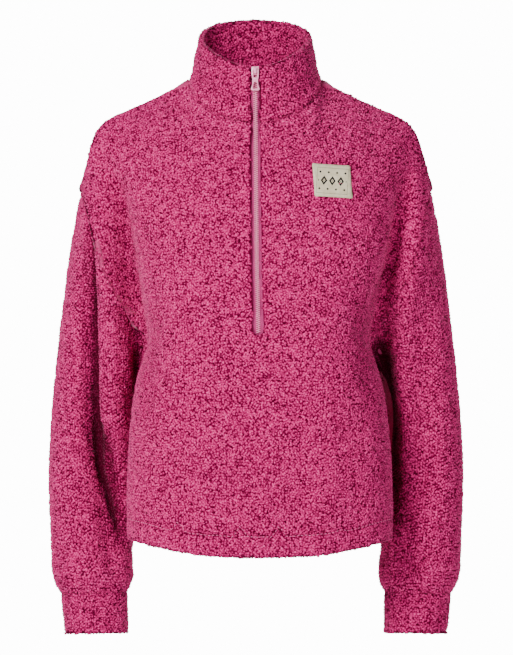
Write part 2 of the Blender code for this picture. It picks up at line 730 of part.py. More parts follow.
def cloth(name, rows, normals, material, wall, closed=False, gap=no_gap, free=()):
    """A piece of cloth: a wall between a grid of outer points and one set in from it."""
    inside = [[p - normals[point_key(p)] * wall(j) for p in row] for j, row in enumerate(rows)]
    outer = pulled_in(rows, closed, free)
    inner = pulled_in(inside, closed, free)
    columns = len(rows[0])
    size = len(rows) * columns
    points = [p for row in outer for p in row] + [p for row in inner for p in row]
    faces = []
    borders = {}
    for corners in grid_cells(rows, closed, gap):
        cell = [j * columns + i for j, i in corners]
        faces += halves(points, cell)
        faces += halves(points, [size + index for index in reversed(cell)])
        for a, b in zip(cell, cell[1:] + cell[:1]):
            if (b, a) in borders:
                del borders[(b, a)]
            else:
                borders[(a, b)] = True
    for a, b in borders:
        if point_key(points[a])[::-1] < point_key(points[b])[::-1]:
            faces += [(b, a, size + b), (a, size + a, size + b)]
        else:
            faces += [(b, a, size + a), (b, size + a, size + b)]
    return solid(name, points, faces, material)


def halves(points, cell):
    """A cell as two triangles, split along its shorter diagonal."""
    a, b, c, d = cell
    if (points[a] - points[c]).length <= (points[b] - points[d]).length:
        return [(a, b, c), (a, c, d)]
    return [(a, b, d), (b, c, d)]


def solid(name, points, faces, material):
    mesh = bpy.data.meshes.new(name)
    used = sorted({index for face in faces for index in face})
    place = {index: number for number, index in enumerate(used)}
    corners = [[place[index] for index in face] for face in faces]
    mesh.from_pydata([points[index] for index in used], [], corners)
    mesh.update()
    mesh.shade_smooth()
    mesh.set_sharp_from_angle(angle=SHARP_ANGLE)
    mesh.materials.append(material)
    piece = bpy.data.objects.new(name, mesh)
    jacket.objects.link(piece)
    return piece


# ---------------------------------------------------------------- zip and patch

def slit_side(front, collar, side):
    """Points beside the slit from its lower end to the collar's rim: its edge and one column on."""
    edge, following = (SLIT_COLUMN + 1, SLIT_COLUMN + 2) if side == LEFT else (SLIT_COLUMN, SLIT_COLUMN - 1)
    points = [(row[edge], row[following]) for row in front[BELOW_CELLS:]]
    edge, following = (0, 1) if side == LEFT else (-1, -2)
    return points + [(row[edge], row[following]) for row in collar[1:]]


def zip_line(left_side, right_side):
    """The middle of the slit from its lower end to the rim, and the way out of the cloth there."""
    line = [(left[0] + right[0]) / 2 for left, right in zip(left_side, right_side)]
    outward = []
    for j in range(len(line)):
        run = (line[min(j + 1, len(line) - 1)] - line[max(j - 1, 0)]).normalized()
        outward.append(Vector((0, -run.z, run.y)))
    return line, outward


def ribbon(name, columns, normals, depth, wall, material):
    """A strip whose columns of points run upward, from left to right as seen from the front."""
    rows = [list(row) for row in zip(*columns)]
    width = len(columns)
    points = []
    for inset in (depth, depth + wall):
        for row, normal in zip(rows, normals):
            points += [p - normal * inset for p in row]
    size = len(rows) * width
    faces = []
    for j in range(len(rows) - 1):
        for i in range(width - 1):
            cell = [j * width + i, j * width + i + 1, (j + 1) * width + i + 1, (j + 1) * width + i]
            faces += [cell, [size + index for index in reversed(cell)]]
        low, high = j * width, (j + 1) * width
        faces += [(high, size + high, size + low, low)]
        low, high = low + width - 1, high + width - 1
        faces += [(low, size + low, size + high, high)]
    for i in range(width - 1):
        top = (len(rows) - 1) * width + i
        faces += [(i, size + i, size + i + 1, i + 1), (top + 1, size + top + 1, size + top, top)]
    return solid(name, points, faces, material)


def tape_half(name, side, beside, line, normals):
    """Half the zip's tape: from the middle of the slit to under the panel, or to the collar's edge."""
    gap = SEAM_GAP / 2
    columns = [[], [], []]
    for j, (middle, (edge, following)) in enumerate(zip(line, beside)):
        on_panel = j < ABOVE_CELLS
        away = (following - edge).normalized()
        columns[0].append(middle + Vector((side * gap, 0, 0)))
        if on_panel:
            columns[1].append(edge.copy())
            columns[2].append(edge + away * (TAPE_WIDTH - SLIT_WIDTH / 2))
        else:
            reach = edge - Vector((side * TAPE_CLEARANCE, 0, 0))
            columns[1].append(middle.lerp(reach, TAPE_FOLD))
            columns[2].append(reach)
    tail = (line[0] - line[1]).normalized() * TAPE_TAIL
    columns = [[column[0] + tail] + column for column in columns]
    if side == RIGHT:
        columns.reverse()
    return ribbon(name, columns, [normals[0]] + normals, FLEECE + SEAM_GAP, TAPE_WALL, tape)


def chain(line, normals):
    """The closed teeth as one band, up to the slider."""
    top = line[-1].z - SLIDER_DROP - SLIDER_LENGTH / 2 - SEAM_GAP
    share = (top - line[-2].z) / (line[-1].z - line[-2].z)
    line = line[:-1] + [line[-2].lerp(line[-1], share)]
    half = Vector((CHAIN_WIDTH / 2, 0, 0))
    lift = Vector((0, 0, SEAM_GAP))
    line[0] = line[0] + lift
    columns = [[p - half for p in line], [p + half for p in line]]
    return ribbon("zip_chain", columns, normals, FLEECE - CHAIN_WALL, CHAIN_WALL, zip_plastic)


def slider(place, turn):
    """The slider's body with a bridge on its face; place is the middle of its face."""
    def at(along_line, out):
        return place + Vector((0, -math.cos(turn) * out - math.sin(turn) * along_line,
                               math.cos(turn) * along_line - math.sin(turn) * out))

    body_size = (SLIDER_WIDTH, SLIDER_WALL, SLIDER_LENGTH)
    body = box("zip_slider", body_size, at(0, -SLIDER_WALL / 2), turn, SLIDER_EDGE)
    jacket.objects.link(body)
    rise = BRIDGE_RISE + BRIDGE_WALL
    bridge_size = (BRIDGE_WIDTH, rise + BRIDGE_ROOT, BRIDGE_LENGTH)
    bridge = box("bridge", bridge_size, at(0, (rise - BRIDGE_ROOT) / 2), turn, BRIDGE_EDGE)
    room_size = (BRIDGE_WIDTH * 2, BRIDGE_RISE, BRIDGE_LENGTH - 2 * BRIDGE_WALL)
    room = box("bridge_room", room_size, at(0, BRIDGE_RISE / 2), turn)
    cut(bridge, room, "DIFFERENCE")
    cut(body, bridge, "UNION")
    return at(0, PULL_AXIS_RISE)


def cut(piece, cutter, operation):
    cutter.hide_render = True
    cutter.display_type = "WIRE"
    cutters.objects.link(cutter)
    boolean = piece.modifiers.new(cutter.name, "BOOLEAN")
    boolean.operation = operation
    boolean.object = cutter


def outline(curve, corners):
    spline = curve.splines.new("POLY")
    spline.points.add(len(corners) - 1)
    for point, (x, y) in zip(spline.points, corners):
        point.co = (x, y, 0, 1)
    spline.use_cyclic_u = True


def pull_tab(place, turn):
    """A flat tab with a window round the bridge and an arched eye near its foot."""
    curve = bpy.data.curves.new("zip_pull", "CURVE")
    curve.dimensions = "2D"
    curve.fill_mode = "BOTH"
    curve.extrude = PULL_WALL / 2
    foot = -PULL_LENGTH
    head, waist, wide = PULL_HEAD_WIDTH / 2, PULL_WAIST_WIDTH / 2, PULL_FOOT_WIDTH / 2
    half = [
        (head - PULL_CORNER, PULL_TOP), (head, PULL_TOP - PULL_CORNER), (head, -WINDOW_LENGTH),
        (waist, -WINDOW_LENGTH - 3 * PULL_CORNER), (waist, foot + PULL_FLARE),
        (wide, foot + EYE_FOOT), (wide - PULL_CORNER / 2, foot + PULL_CORNER / 2),
        (wide - 2 * PULL_CORNER, foot),
    ]
    outline(curve, half + [(-x, y) for x, y in reversed(half)])
    window = WINDOW_WIDTH / 2
    high, low = -PULL_TOP, -PULL_TOP - WINDOW_LENGTH
    outline(curve, [(window, high), (window, low), (-window, low), (-window, high)])
    eye = EYE_WIDTH / 2
    floor = foot + EYE_FOOT
    spring = floor + EYE_LENGTH - eye
    arch = [(eye, floor)]
    for step in range(ARCH_STEPS + 1):
        angle = math.pi * step / ARCH_STEPS
        arch.append((eye * EYE_NARROWING * math.cos(angle), spring + eye * math.sin(angle)))
    outline(curve, arch + [(-eye, floor)])
    tab = bpy.data.objects.new("zip_pull", curve)
    tab.location = place
    tab.rotation_euler = (math.pi / 2 + turn, 0, 0)
    curve.materials.append(zip_plastic)
    jacket.objects.link(tab)


def patch(front_piece):
    """The woven patch: points of the chest, moved out."""
    mesh = front_piece.data
    corners = [tuple(face.vertices) for face in mesh.polygons]
    tree = BVHTree.FromPolygons([vertex.co for vertex in mesh.vertices], corners)
    centre_x, centre_z = PATCH_CENTRE
    width, height = PATCH_SIZE
    out = tree.ray_cast(Vector((centre_x, -1, centre_z)), Vector((0, 1, 0)))[1]
    rows = []
    for j in range(PATCH_CELLS + 1):
        row = []
        for i in range(PATCH_CELLS + 1):
            across = width * (i / PATCH_CELLS - 0.5)
            up = height * (j / PATCH_CELLS - 0.5)
            place = Vector((centre_x + across - up * PATCH_SLANT, -1, centre_z + up - across * PATCH_FALL))
            hit = tree.ray_cast(place, Vector((0, 1, 0)))[0]
            row.append(hit + out * (PATCH_LIFT + PATCH_WALL))
        rows.append(row)
    normals = shared_normals([(rows, False, no_gap)])
    cloth("patch", rows, normals, patch_cloth, patch_wall)


def box(name, size, place, turn, bevel=0.0):
    bpy.ops.mesh.primitive_cube_add(size=1, location=place, rotation=(turn, 0, 0))
    piece = bpy.context.object
    piece.name = name
    piece.data.name = name
    piece.scale = size
    bpy.ops.object.transform_apply(location=False, rotation=False, scale=True)
    if bevel:
        edge = piece.modifiers.new("edges", "BEVEL")
        edge.width = bevel
        edge.segments = 2
        edge.limit_method = "ANGLE"
    piece.data.materials.append(zip_plastic)
    for collection in list(piece.users_collection):
        collection.objects.unlink(piece)
    return piece


def material(name, colour, roughness, metallic=0.0):
    result = bpy.data.materials.new(name)
    result.use_nodes = True
    shader = result.node_tree.nodes["Principled BSDF"]
    shader.inputs["Base Color"].default_value = (*colour, 1)
    shader.inputs["Roughness"].default_value = roughness
    shader.inputs["Metallic"].default_value = metallic
    return result


for old in list(bpy.data.objects):
    bpy.data.objects.remove(old, do_unlink=True)

jacket = bpy.data.collections.new("sherpa_half_zip")
cutters = bpy.data.collections.new("cutters")
bpy.context.scene.collection.children.link(jacket)
bpy.context.scene.collection.children.link(cutters)

sherpa = material("sherpa", COLOURS["sherpa"], 0.95)
tape = material("tape", COLOURS["tape"], 0.80)
zip_plastic = material("zip_plastic", COLOURS["zip"], 0.35)
patch_cloth = material("patch_cloth", COLOURS["patch"], 0.85)

front_rows = panel(FRONT)
back_rows = panel(BACK)
join_seams(front_rows, back_rows)
left_loop = armhole(front_rows, back_rows, LEFT)
right_loop = armhole(front_rows, back_rows, RIGHT)
left_sleeve = sleeve(left_loop, LEFT, LEFT_SLEEVE_FOLDS)
right_sleeve = sleeve(right_loop, RIGHT, RIGHT_SLEEVE_FOLDS)
left_cuff = cuff(left_sleeve[0], LEFT)
right_cuff = cuff(right_sleeve[0], RIGHT)
collar_rows = collar(front_rows, back_rows)

# Grids run left to right and upward as seen from outside, so their faces point out.
back_rows = [row[::-1] for row in back_rows]
left_sleeve = [row[::-1] for row in left_sleeve]
left_cuff = [row[::-1] for row in left_cuff]
collar_rows = [row[::-1] for row in collar_rows]

grids = (
    (front_rows, False, in_slit), (back_rows, False, no_gap), (collar_rows, False, no_gap),
    (left_sleeve, True, no_gap), (right_sleeve, True, no_gap),
    (left_cuff, True, no_gap), (right_cuff, True, no_gap),
)
directions = shared_normals(grids)

front_piece = cloth("front", front_rows, directions, sherpa, panel_wall, gap=in_slit, free=("first",))
cloth("back", back_rows, directions, sherpa, panel_wall, free=("first",))
cloth("collar", collar_rows, directions, sherpa, collar_wall, free=("last",))
cloth("sleeve_left", left_sleeve, directions, sherpa, sleeve_wall, closed=True)
cloth("sleeve_right", right_sleeve, directions, sherpa, sleeve_wall, closed=True)
cloth("cuff_left", left_cuff, directions, sherpa, sleeve_wall, closed=True, free=("first",))
cloth("cuff_right", right_cuff, directions, sherpa, sleeve_wall, closed=True, free=("first",))

left_side = slit_side(front_rows, collar_rows, LEFT)
right_side = slit_side(front_rows, collar_rows, RIGHT)
line, outward = zip_line(left_side, right_side)
tape_half("zip_tape_left", LEFT, left_side, line, outward)
tape_half("zip_tape_right", RIGHT, right_side, line, outward)
chain(line, outward)
lean = math.atan2(line[-1].y - line[-2].y, line[-1].z - line[-2].z)
slider_place = line[-1] + (line[-2] - line[-1]).normalized() * SLIDER_DROP
hinge = slider(slider_place, -lean)
pull_tab(hinge, -lean)
patch(front_piece)
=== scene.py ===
import math

import bmesh
import bpy
import numpy as np
from mathutils import Matrix, Vector, kdtree, noise
from mathutils.bvhtree import BVHTree


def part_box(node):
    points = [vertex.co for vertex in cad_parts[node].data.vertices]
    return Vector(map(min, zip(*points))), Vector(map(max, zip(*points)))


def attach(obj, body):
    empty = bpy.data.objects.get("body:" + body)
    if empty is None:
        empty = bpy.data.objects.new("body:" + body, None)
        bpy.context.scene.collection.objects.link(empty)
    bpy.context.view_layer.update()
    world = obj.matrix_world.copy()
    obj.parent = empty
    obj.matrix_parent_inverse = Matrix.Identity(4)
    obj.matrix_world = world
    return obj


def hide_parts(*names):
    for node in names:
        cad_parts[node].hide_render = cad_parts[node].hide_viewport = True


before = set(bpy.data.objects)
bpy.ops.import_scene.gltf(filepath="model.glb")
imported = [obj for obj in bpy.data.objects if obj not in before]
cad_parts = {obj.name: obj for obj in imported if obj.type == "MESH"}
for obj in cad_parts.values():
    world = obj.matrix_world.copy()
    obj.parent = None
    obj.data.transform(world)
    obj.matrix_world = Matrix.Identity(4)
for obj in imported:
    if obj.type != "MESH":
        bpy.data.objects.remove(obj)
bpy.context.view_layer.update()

# Half-zip sherpa pullover, filled out as if worn, with nobody in it. Metres, +Z up, the front
# faces -Y. Every piece takes its place from the CAD node it stands for.


# ------------------------------------------------------------------ front panel
# Sherpa fleece, cut on the fold and slit for the zip. The wall is its knitted ground, and its
# pile is a mesh of small knots of wool that stand on the ground, one beside the other.

MERGE = 1e-5
RIM_ANGLE = math.radians(52)            # a cloth's cut edge is sharper than any of its folds
OUTER, INNER, RIM = 0, 1, 2             # the sides of a wall, and its materials in that order
FIT_ROUNDS = 2
ROOT = 0.0008                           # the ground lies this far under the face of the solid
LUMP = 0.0105                           # the pile is uneven at this size
LUMP_HEIGHT = 0.0011
SEWN_REACH = 0.0045                     # an edge this close to another panel is sewn to it
SEAM_OVERLAP = 0.0009
SEAM_DIP = 0.0003                       # how far a seam is drawn in
SEAM_WIDTH = 0.0040
SEAM_PRESS_AND_SHADE = 0.05                       # share of its brightness that the pile loses at a seam, as painted shade; its curls lose half of it in size
NECK = (0.105, -0.055)                  # the neck seam is within this x and above this z
SEAM_ROLL = 0.0011                      # beside that seam the cloth rolls up
ROLL_AT = 0.0075
ROLL_WIDTH = 0.0040
ROLL_LIGHT = 0.10                       # and its pile stands taller and is drawn lighter
SEAM_HOLD = 0.016                       # a seam holds folds off over about this distance
STITCH_DIP = 0.0011                     # how far a line of stitches draws it in
# painted shade: along the stitch line the pile loses this share of its brightness, and half of it in
# size
STITCH_PRESS_AND_SHADE = 0.22
INNER_SPREAD = 2.6                      # a fold is this much wider on the coarser inner face
INNER_TUCK = 0.0070                     # at a seam the inner face lies this much further in
FOLD_FADE = 0.18                        # share of a fold's length over which each end dies out
FADE_CURVE = 0.7
FOLD_DARK = 0.012                       # in a fold this deep the pile is pressed most, by this share of its brightness as painted shade in the fold, and by half of it in size
FOLD_PRESS_AND_SHADE = 0.66                       # by this share of its height
PRESS_CURVE = 1.6
FACING = 0.5                            # a face turned this much to a side may start that side
BACK_TURN = 0.05                        # past this turn a face takes the folds of the back

cloth = ("front", "back", "collar", "sleeve_left", "sleeve_right", "cuff_left", "cuff_right")
tapes = ("zip_tape_left", "zip_tape_right")


def skin_of(mesh):
    """A mesh's faces, ready to be searched for the nearest or the first one met."""
    return BVHTree.FromPolygons([vertex.co for vertex in mesh.vertices],
                                [polygon.vertices for polygon in mesh.polygons])


trees = {node: skin_of(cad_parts[node].data) for node in (*cloth, *tapes)}


def wall_faces(build, towards):
    """Sorts a wall's faces into its outer face, its inner face and its cut edges."""
    build.faces.ensure_lookup_table()
    direction = Vector(towards)

    def flood(seed):
        found = {seed}
        edge_of_found = [seed]
        while edge_of_found:
            face = edge_of_found.pop()
            for edge in face.edges:
                for other in edge.link_faces:
                    if other not in found and edge.calc_face_angle(math.pi) < RIM_ANGLE:
                        found.add(other)
                        edge_of_found.append(other)
        return found

    facing = [face for face in build.faces if face.normal.dot(direction) > FACING]
    seed = max(facing, key=lambda face: face.calc_center_median().dot(direction))
    outer = flood(seed)
    tree = BVHTree.FromBMesh(build)
    start = seed.calc_center_median() - seed.normal * MERGE
    inner = flood(build.faces[tree.ray_cast(start, -seed.normal)[2]])
    for face in build.faces:
        face.material_index = OUTER if face in outer else INNER if face in inner else RIM


def apply_to(piece, modifier):
    """Makes a modifier's result the piece's own mesh."""
    bpy.ops.object.select_all(action="DESELECT")
    bpy.context.view_layer.objects.active = piece
    bpy.ops.object.modifier_apply(modifier=modifier.name)


def smooth_through(piece, levels):
    """Rounds a wall with a subdivision surface that still passes through the wall's own corners."""
    smooth = piece.modifiers.new("smooth", "SUBSURF")
    smooth.levels = levels
    smooth.render_levels = levels
    corners = [vertex.co.copy() for vertex in piece.data.vertices]
    for _ in range(FIT_ROUNDS):
        bpy.context.view_layer.update()
        shown = piece.evaluated_get(bpy.context.evaluated_depsgraph_get()).data
        missed = [corner - shown.vertices[order].co for order, corner in enumerate(corners)]
        for vertex, miss in zip(piece.data.vertices, missed):
            vertex.co += miss
        piece.data.update()
        piece.data.update_tag()
    apply_to(piece, smooth)


def wall_copy(node, name, towards, levels, fine=(OUTER,), extra=1):
    """A smooth, finely divided copy of a CAD wall. Its cut edges keep their places."""
    piece = bpy.data.objects.new(name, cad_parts[node].data.copy())
    bpy.context.scene.collection.objects.link(piece)
    build = bmesh.new()
    build.from_mesh(piece.data)
    bmesh.ops.remove_doubles(build, verts=build.verts, dist=MERGE)
    wall_faces(build, towards)
    crease = build.edges.layers.float.new("crease_edge")
    for edge in build.edges:
        if len({face.material_index for face in edge.link_faces}) > 1:
            edge[crease] = 1.0
    bmesh.ops.join_triangles(build, faces=build.faces, cmp_materials=True,
                             angle_face_threshold=math.pi, angle_shape_threshold=math.pi)
    build.to_mesh(piece.data)
    build.free()
    smooth_through(piece, levels)
    build = bmesh.new()
    build.from_mesh(piece.data)
    for _ in range(extra):
        edges = {edge for face in build.faces if face.material_index in fine for edge in face.edges}
        bmesh.ops.subdivide_edges(build, edges=list(edges), cuts=1, use_grid_fill=True)
    build.to_mesh(piece.data)
    build.free()
    piece.data.shade_smooth()
    return piece


def nearest(place, nodes, reach):
    """The point of these nodes that is nearest to a place, or None where none is in reach."""
    found = [trees[node].find_nearest(place, reach) for node in nodes]
    found = [hit for hit in found if hit[0] is not None]
    return min(found, key=lambda hit: hit[3])[0] if found else None


def trough(place, path, depth, width):
    """How far a fold draws the cloth in at a place. Its path is a line of (x, z) points."""
    spot = Vector((place.x, place.z))
    best, along = 1.0, 0.0
    for order, (start, end) in enumerate(zip(path, path[1:])):
        start, end = Vector(start), Vector(end)
        step = end - start
        share = max(0.0, min(1.0, (spot - start).dot(step) / step.length_squared))
        distance = (start + step * share - spot).length
        if distance < best:
            best, along = distance, (order + share) / (len(path) - 1)
    fade = min(1.0, along / FOLD_FADE, (1 - along) / FOLD_FADE)
    return depth * math.exp(-(best / width) ** 2) * max(0.0, fade) ** FADE_CURVE


def lay_nap_and_shade(piece, node, faces=(OUTER,), folds=(), back_folds=(), stitched=None, base_nap_and_shade=1.0):
    """Draws a wall in to the roots of its pile, closes its seams and lays its folds. It also stores for
    each point how large its curls grow and how bright the pile is drawn, darkened as painted shade in
    folds, at seams and along the stitch line.
    """
    build = bmesh.new()
    build.from_mesh(piece.data)
    build.normal_update()
    nap_and_shade = build.verts.layers.float.new("nap_and_shade")
    napped = build.faces.layers.bool.new("napped")
    neighbours = [other for other in cloth if other != node]
    sewn, held, bare = {}, [], set()
    for vertex in build.verts:
        if any(face.material_index == RIM for face in vertex.link_faces):
            partner = nearest(vertex.co, neighbours, SEWN_REACH)
            if partner is not None:
                sewn[vertex] = partner
                held.append(vertex)
            elif nearest(vertex.co, tapes, SEWN_REACH) is not None:
                held.append(vertex)
                bare.add(vertex)
    held_tree = kdtree.KDTree(max(len(held), 1))
    for order, vertex in enumerate(held):
        held_tree.insert(vertex.co, order)
    held_tree.balance()
    held_set = set(held)
    for face in build.faces:
        face[napped] = face.material_index in faces or (
            face.material_index == RIM and not bare.intersection(face.verts))
    moved = {}
    for vertex in build.verts:
        kinds = {face.material_index for face in vertex.link_faces}
        free = vertex not in held_set
        counted = [face for face in vertex.link_faces if face.material_index != RIM or free]
        counted = counted or vertex.link_faces
        outward = sum((face.normal * face.calc_area() for face in counted), Vector())
        outward.normalize()
        place = vertex.co.copy()
        away = held_tree.find(place)[2] if held else 1.0
        pinch = math.exp(-(away / SEAM_WIDTH) ** 2)
        neck = abs(place.x) < NECK[0] and place.z > NECK[1]
        roll = math.exp(-((away - ROLL_AT) / ROLL_WIDTH) ** 2) if neck else 0.0
        sides = -1.0 if INNER in kinds and OUTER not in kinds else 1.0
        listed = folds if outward.y * sides < BACK_TURN else back_folds
        spread = INNER_SPREAD if sides < 0 else 1.0
        depth = sum(trough(place, path, deep, width * spread) for path, deep, width in listed)
        depth *= 1 - math.exp(-(away / SEAM_HOLD) ** 2)
        line = stitched(place) if stitched else 0.0
        # painted shade: folds, seams and the stitch line draw the pile darker here, and its curls
        # smaller
        fold_press_and_shade = FOLD_PRESS_AND_SHADE * min(1.0, depth / FOLD_DARK) ** PRESS_CURVE
        vertex[nap_and_shade] = base_nap_and_shade + ROLL_LIGHT * roll - SEAM_PRESS_AND_SHADE * pinch - STITCH_PRESS_AND_SHADE * line - fold_press_and_shade
        lump = noise.noise(place / LUMP) * LUMP_HEIGHT
        rise = -sides * depth
        if kinds & set(faces) or (RIM in kinds and free):
            rise += lump - ROOT + SEAM_ROLL * roll - SEAM_DIP * pinch - STITCH_DIP * line
        if vertex in sewn:
            partner = sewn[vertex]
            gap = partner - place
            place = place.lerp(partner, 0.5) + gap.normalized() * SEAM_OVERLAP
        if INNER in kinds and INNER not in faces:
            inside = [face.normal for face in vertex.link_faces if face.material_index == INNER]
            hollow = sum(inside, Vector())
            place += hollow.normalized() * INNER_TUCK * math.exp(-(away / SEAM_HOLD) ** 2)
        moved[vertex] = place + outward * rise
    for vertex, place in moved.items():
        vertex.co = place
    build.to_mesh(piece.data)
    build.free()


def effect_group(name, outputs):
    """An empty shader node group with the given outputs."""
    group = bpy.data.node_groups.new(name, "ShaderNodeTree")
    for label, kind in outputs:
        group.interface.new_socket(label, in_out="OUTPUT", socket_type=kind)
    return group


def add(tree, kind, links=(), **values):
    """A node with its settings, its input values and its links in."""
    node = tree.nodes.new(kind)
    for key, value in values.items():
        setattr(node, key, value)
    for socket, source in links:
        if isinstance(source, bpy.types.NodeSocket):
            tree.links.new(source, node.inputs[socket])
        else:
            node.inputs[socket].default_value = source
    return node


def ramp(tree, factor, stops):
    """A colour for each value of a number, from its stops."""
    node = add(tree, "ShaderNodeValToRGB", [("Fac", factor)])
    elements = node.color_ramp.elements
    while len(elements) < len(stops):
        elements.new(0.5)
    for element, (position, colour) in zip(elements, stops):
        element.position = position
        element.color = (*colour, 1)
    return node.outputs["Color"]


def clouds(tree, place, scale, detail):
    """Soft noise over a place."""
    inputs = [("Vector", place), ("Scale", scale), ("Detail", detail)]
    return add(tree, "ShaderNodeTexNoise", inputs).outputs["Fac"]


def work_out(tree, operation, *values):
    """One sum in a node tree."""
    return add(tree, "ShaderNodeMath", list(enumerate(values)), operation=operation).outputs[0]


def veins(tree, cloud):
    """How far a noise is from its middle: nothing along winding lines, more between them."""
    return work_out(tree, "ABSOLUTE", work_out(tree, "SUBTRACT", cloud, 0.5))


def remap(tree, value, start, end, low, high):
    """A number brought from one range to another, and held inside it."""
    return add(tree, "ShaderNodeMapRange", [("Value", value), ("From Min", start), ("From Max", end),
                                            ("To Min", low), ("To Max", high)]).outputs[0]


CURL_RADIUS = 0.0029                    # of one curl, a knot of wool at the cloth's face
CURL_HEIGHT = 0.0026
CURL_SUNK = 0.0009                      # how far its edges are in the ground
CURL_SIDES = 8
CURL_OVAL = 0.20                        # how far its outline is from a circle
CURL_OVAL_TURN = 0.6                    # radians
CURL_CORNERS = 0.5                      # how much of that is three-sided
CURL_TILT = 0.38                        # radians
CURL_SPACING = 0.00264                  # least distance between two
LOCK_SCALE = 118.0                      # the curls lie in locks, with winding partings between
LOCK_PARTING = 0.045
LOCK_LOW = 0.70                         # size of a curl in a parting
CANDIDATES = 680000                     # places tried a square metre
CURL_LEAST = (0.72, 0.78, 0.66)         # sizes by chance
CURL_MOST = (1.30, 1.24, 1.34)
UV_NAME = "OFBake"                      # the name of the map laid over the curls, one cell to each
UV_SHARE = 0.32                         # of its cell, from a curl's middle to its edge

bpy.ops.object.select_all(action="DESELECT")
bpy.ops.mesh.primitive_cone_add(vertices=CURL_SIDES, radius1=CURL_RADIUS, radius2=0,
                                depth=CURL_HEIGHT, end_fill_type="NOTHING",
                                location=(0, 0, CURL_HEIGHT / 2 - CURL_SUNK))
bpy.ops.object.transform_apply(location=True)
curl = bpy.context.object
curl.name = "curl"
# painted light: a curl's crown is marked 1 and its edge 0, so that its tip is drawn lighter and its root
# darker
tip_light_and_root_shade = curl.data.attributes.new("pile", "FLOAT", "POINT")
for vertex in curl.data.vertices:
    crown = vertex.co.z > 0
    tip_light_and_root_shade.data[vertex.index].value = 1.0 if crown else 0.0
    if not crown:
        angle = math.atan2(vertex.co.y, vertex.co.x)
        corner = CURL_CORNERS * math.sin(3 * angle)
        swell = 1 + CURL_OVAL * (math.cos(2 * angle + CURL_OVAL_TURN) + corner)
        vertex.co = (vertex.co.x * swell, vertex.co.y * swell, vertex.co.z)
curl.data.shade_smooth()
bake_map = curl.data.uv_layers[0]
bake_map.name = UV_NAME
for loop in curl.data.loops:
    corner = curl.data.vertices[loop.vertex_index].co / CURL_RADIUS
    bake_map.data[loop.index].uv = (0.5 + UV_SHARE * corner.x, 0.5 + UV_SHARE * corner.y)

growth = bpy.data.node_groups.new("pile_growth", "GeometryNodeTree")
growth.interface.new_socket("Wall", in_out="INPUT", socket_type="NodeSocketGeometry")
growth.interface.new_socket("Pile", in_out="OUTPUT", socket_type="NodeSocketGeometry")
wall = add(growth, "NodeGroupInput").outputs["Wall"]
napped = add(growth, "GeometryNodeInputNamedAttribute", [("Name", "napped")], data_type="BOOLEAN")
nap_and_shade = add(growth, "GeometryNodeInputNamedAttribute", [("Name", "nap_and_shade")], data_type="FLOAT")
roots = add(growth, "GeometryNodeDistributePointsOnFaces",
            [("Mesh", wall), ("Selection", napped.outputs["Attribute"]), ("Distance Min", CURL_SPACING),
             ("Density Max", CANDIDATES), ("Seed", 3)], distribute_method="POISSON")
turn = add(growth, "FunctionNodeRandomValue",
           [("Min", (-CURL_TILT, -CURL_TILT, 0.0)), ("Max", (CURL_TILT, CURL_TILT, math.tau)),
            ("Seed", 5)], data_type="FLOAT_VECTOR")
turned = add(growth, "FunctionNodeEulerToRotation", [("Euler", turn.outputs[0])])
stood = add(growth, "FunctionNodeRotateRotation",
            [("Rotation", roots.outputs["Rotation"]), ("Rotate By", turned.outputs[0])],
            rotation_space="LOCAL")
size = add(growth, "FunctionNodeRandomValue",
           [("Min", CURL_LEAST), ("Max", CURL_MOST), ("Seed", 7)], data_type="FLOAT_VECTOR")
place = add(growth, "GeometryNodeInputPosition").outputs[0]
parted = veins(growth, clouds(growth, place, LOCK_SCALE, 1.0))
grown = remap(growth, parted, 0.0, LOCK_PARTING, LOCK_LOW, 1.0)
upright = work_out(growth, "MULTIPLY_ADD", nap_and_shade.outputs["Attribute"], 0.5, 0.5)
tall = work_out(growth, "MULTIPLY", grown, upright)
sized = add(growth, "ShaderNodeVectorMath", [(0, size.outputs[0]), ("Scale", tall)], operation="SCALE")
shape = add(growth, "GeometryNodeObjectInfo", [("Object", curl), ("As Instance", True)])
stand = add(growth, "GeometryNodeInstanceOnPoints",
            [("Points", roots.outputs["Points"]), ("Instance", shape.outputs["Geometry"]),
             ("Rotation", stood.outputs[0]), ("Scale", sized.outputs[0])])
shade = add(growth, "FunctionNodeRandomValue", [("Seed", 11)], data_type="FLOAT")
shaded = add(growth, "GeometryNodeStoreNamedAttribute",
             [("Geometry", stand.outputs[0]), ("Name", "shade"), ("Value", shade.outputs[1])],
             data_type="FLOAT", domain="INSTANCE")
real = add(growth, "GeometryNodeRealizeInstances", [("Geometry", shaded.outputs[0])])
add(growth, "NodeGroupOutput", [("Pile", real.outputs[0])])

PARTING_SHADE = 0.80                        # brightness in a parting, as painted shade, and on a lock
LOCK_BRIGHT = 1.04
FIBRE_SCALE = 1100.0
STRAND_SCALE = 330.0                    # the fibres lie in strands, this fine and this wide
STRAND_WIDTH = 0.16
# painted light: by its own height each curl is drawn lighter at its tip and darker at its root, and the
# bare ground between curls darkest
TIP_LIGHT_AND_SHADE_SHARE = 0.44                        # shares of the brightness: a curl's own height,
STRAND_SHARE = 0.26                     # its strands,
CHANCE_SHARE = 0.14                     # the lot of each curl
FIBRE_SHARE = 0.26                      # and its fibres
PILE_RELIEF = 0.0009
# these colours span the pile's own tones and the painted shade and highlight carried by its brightness
PILE_COLOURS = (                        # brightness, and the colour there
    (0.14, (0.060, 0.000, 0.010)),
    (0.36, (0.175, 0.002, 0.038)),
    (0.58, (0.590, 0.010, 0.155)),
    (0.78, (0.890, 0.040, 0.270)),
    (0.95, (0.980, 0.120, 0.400)),
)

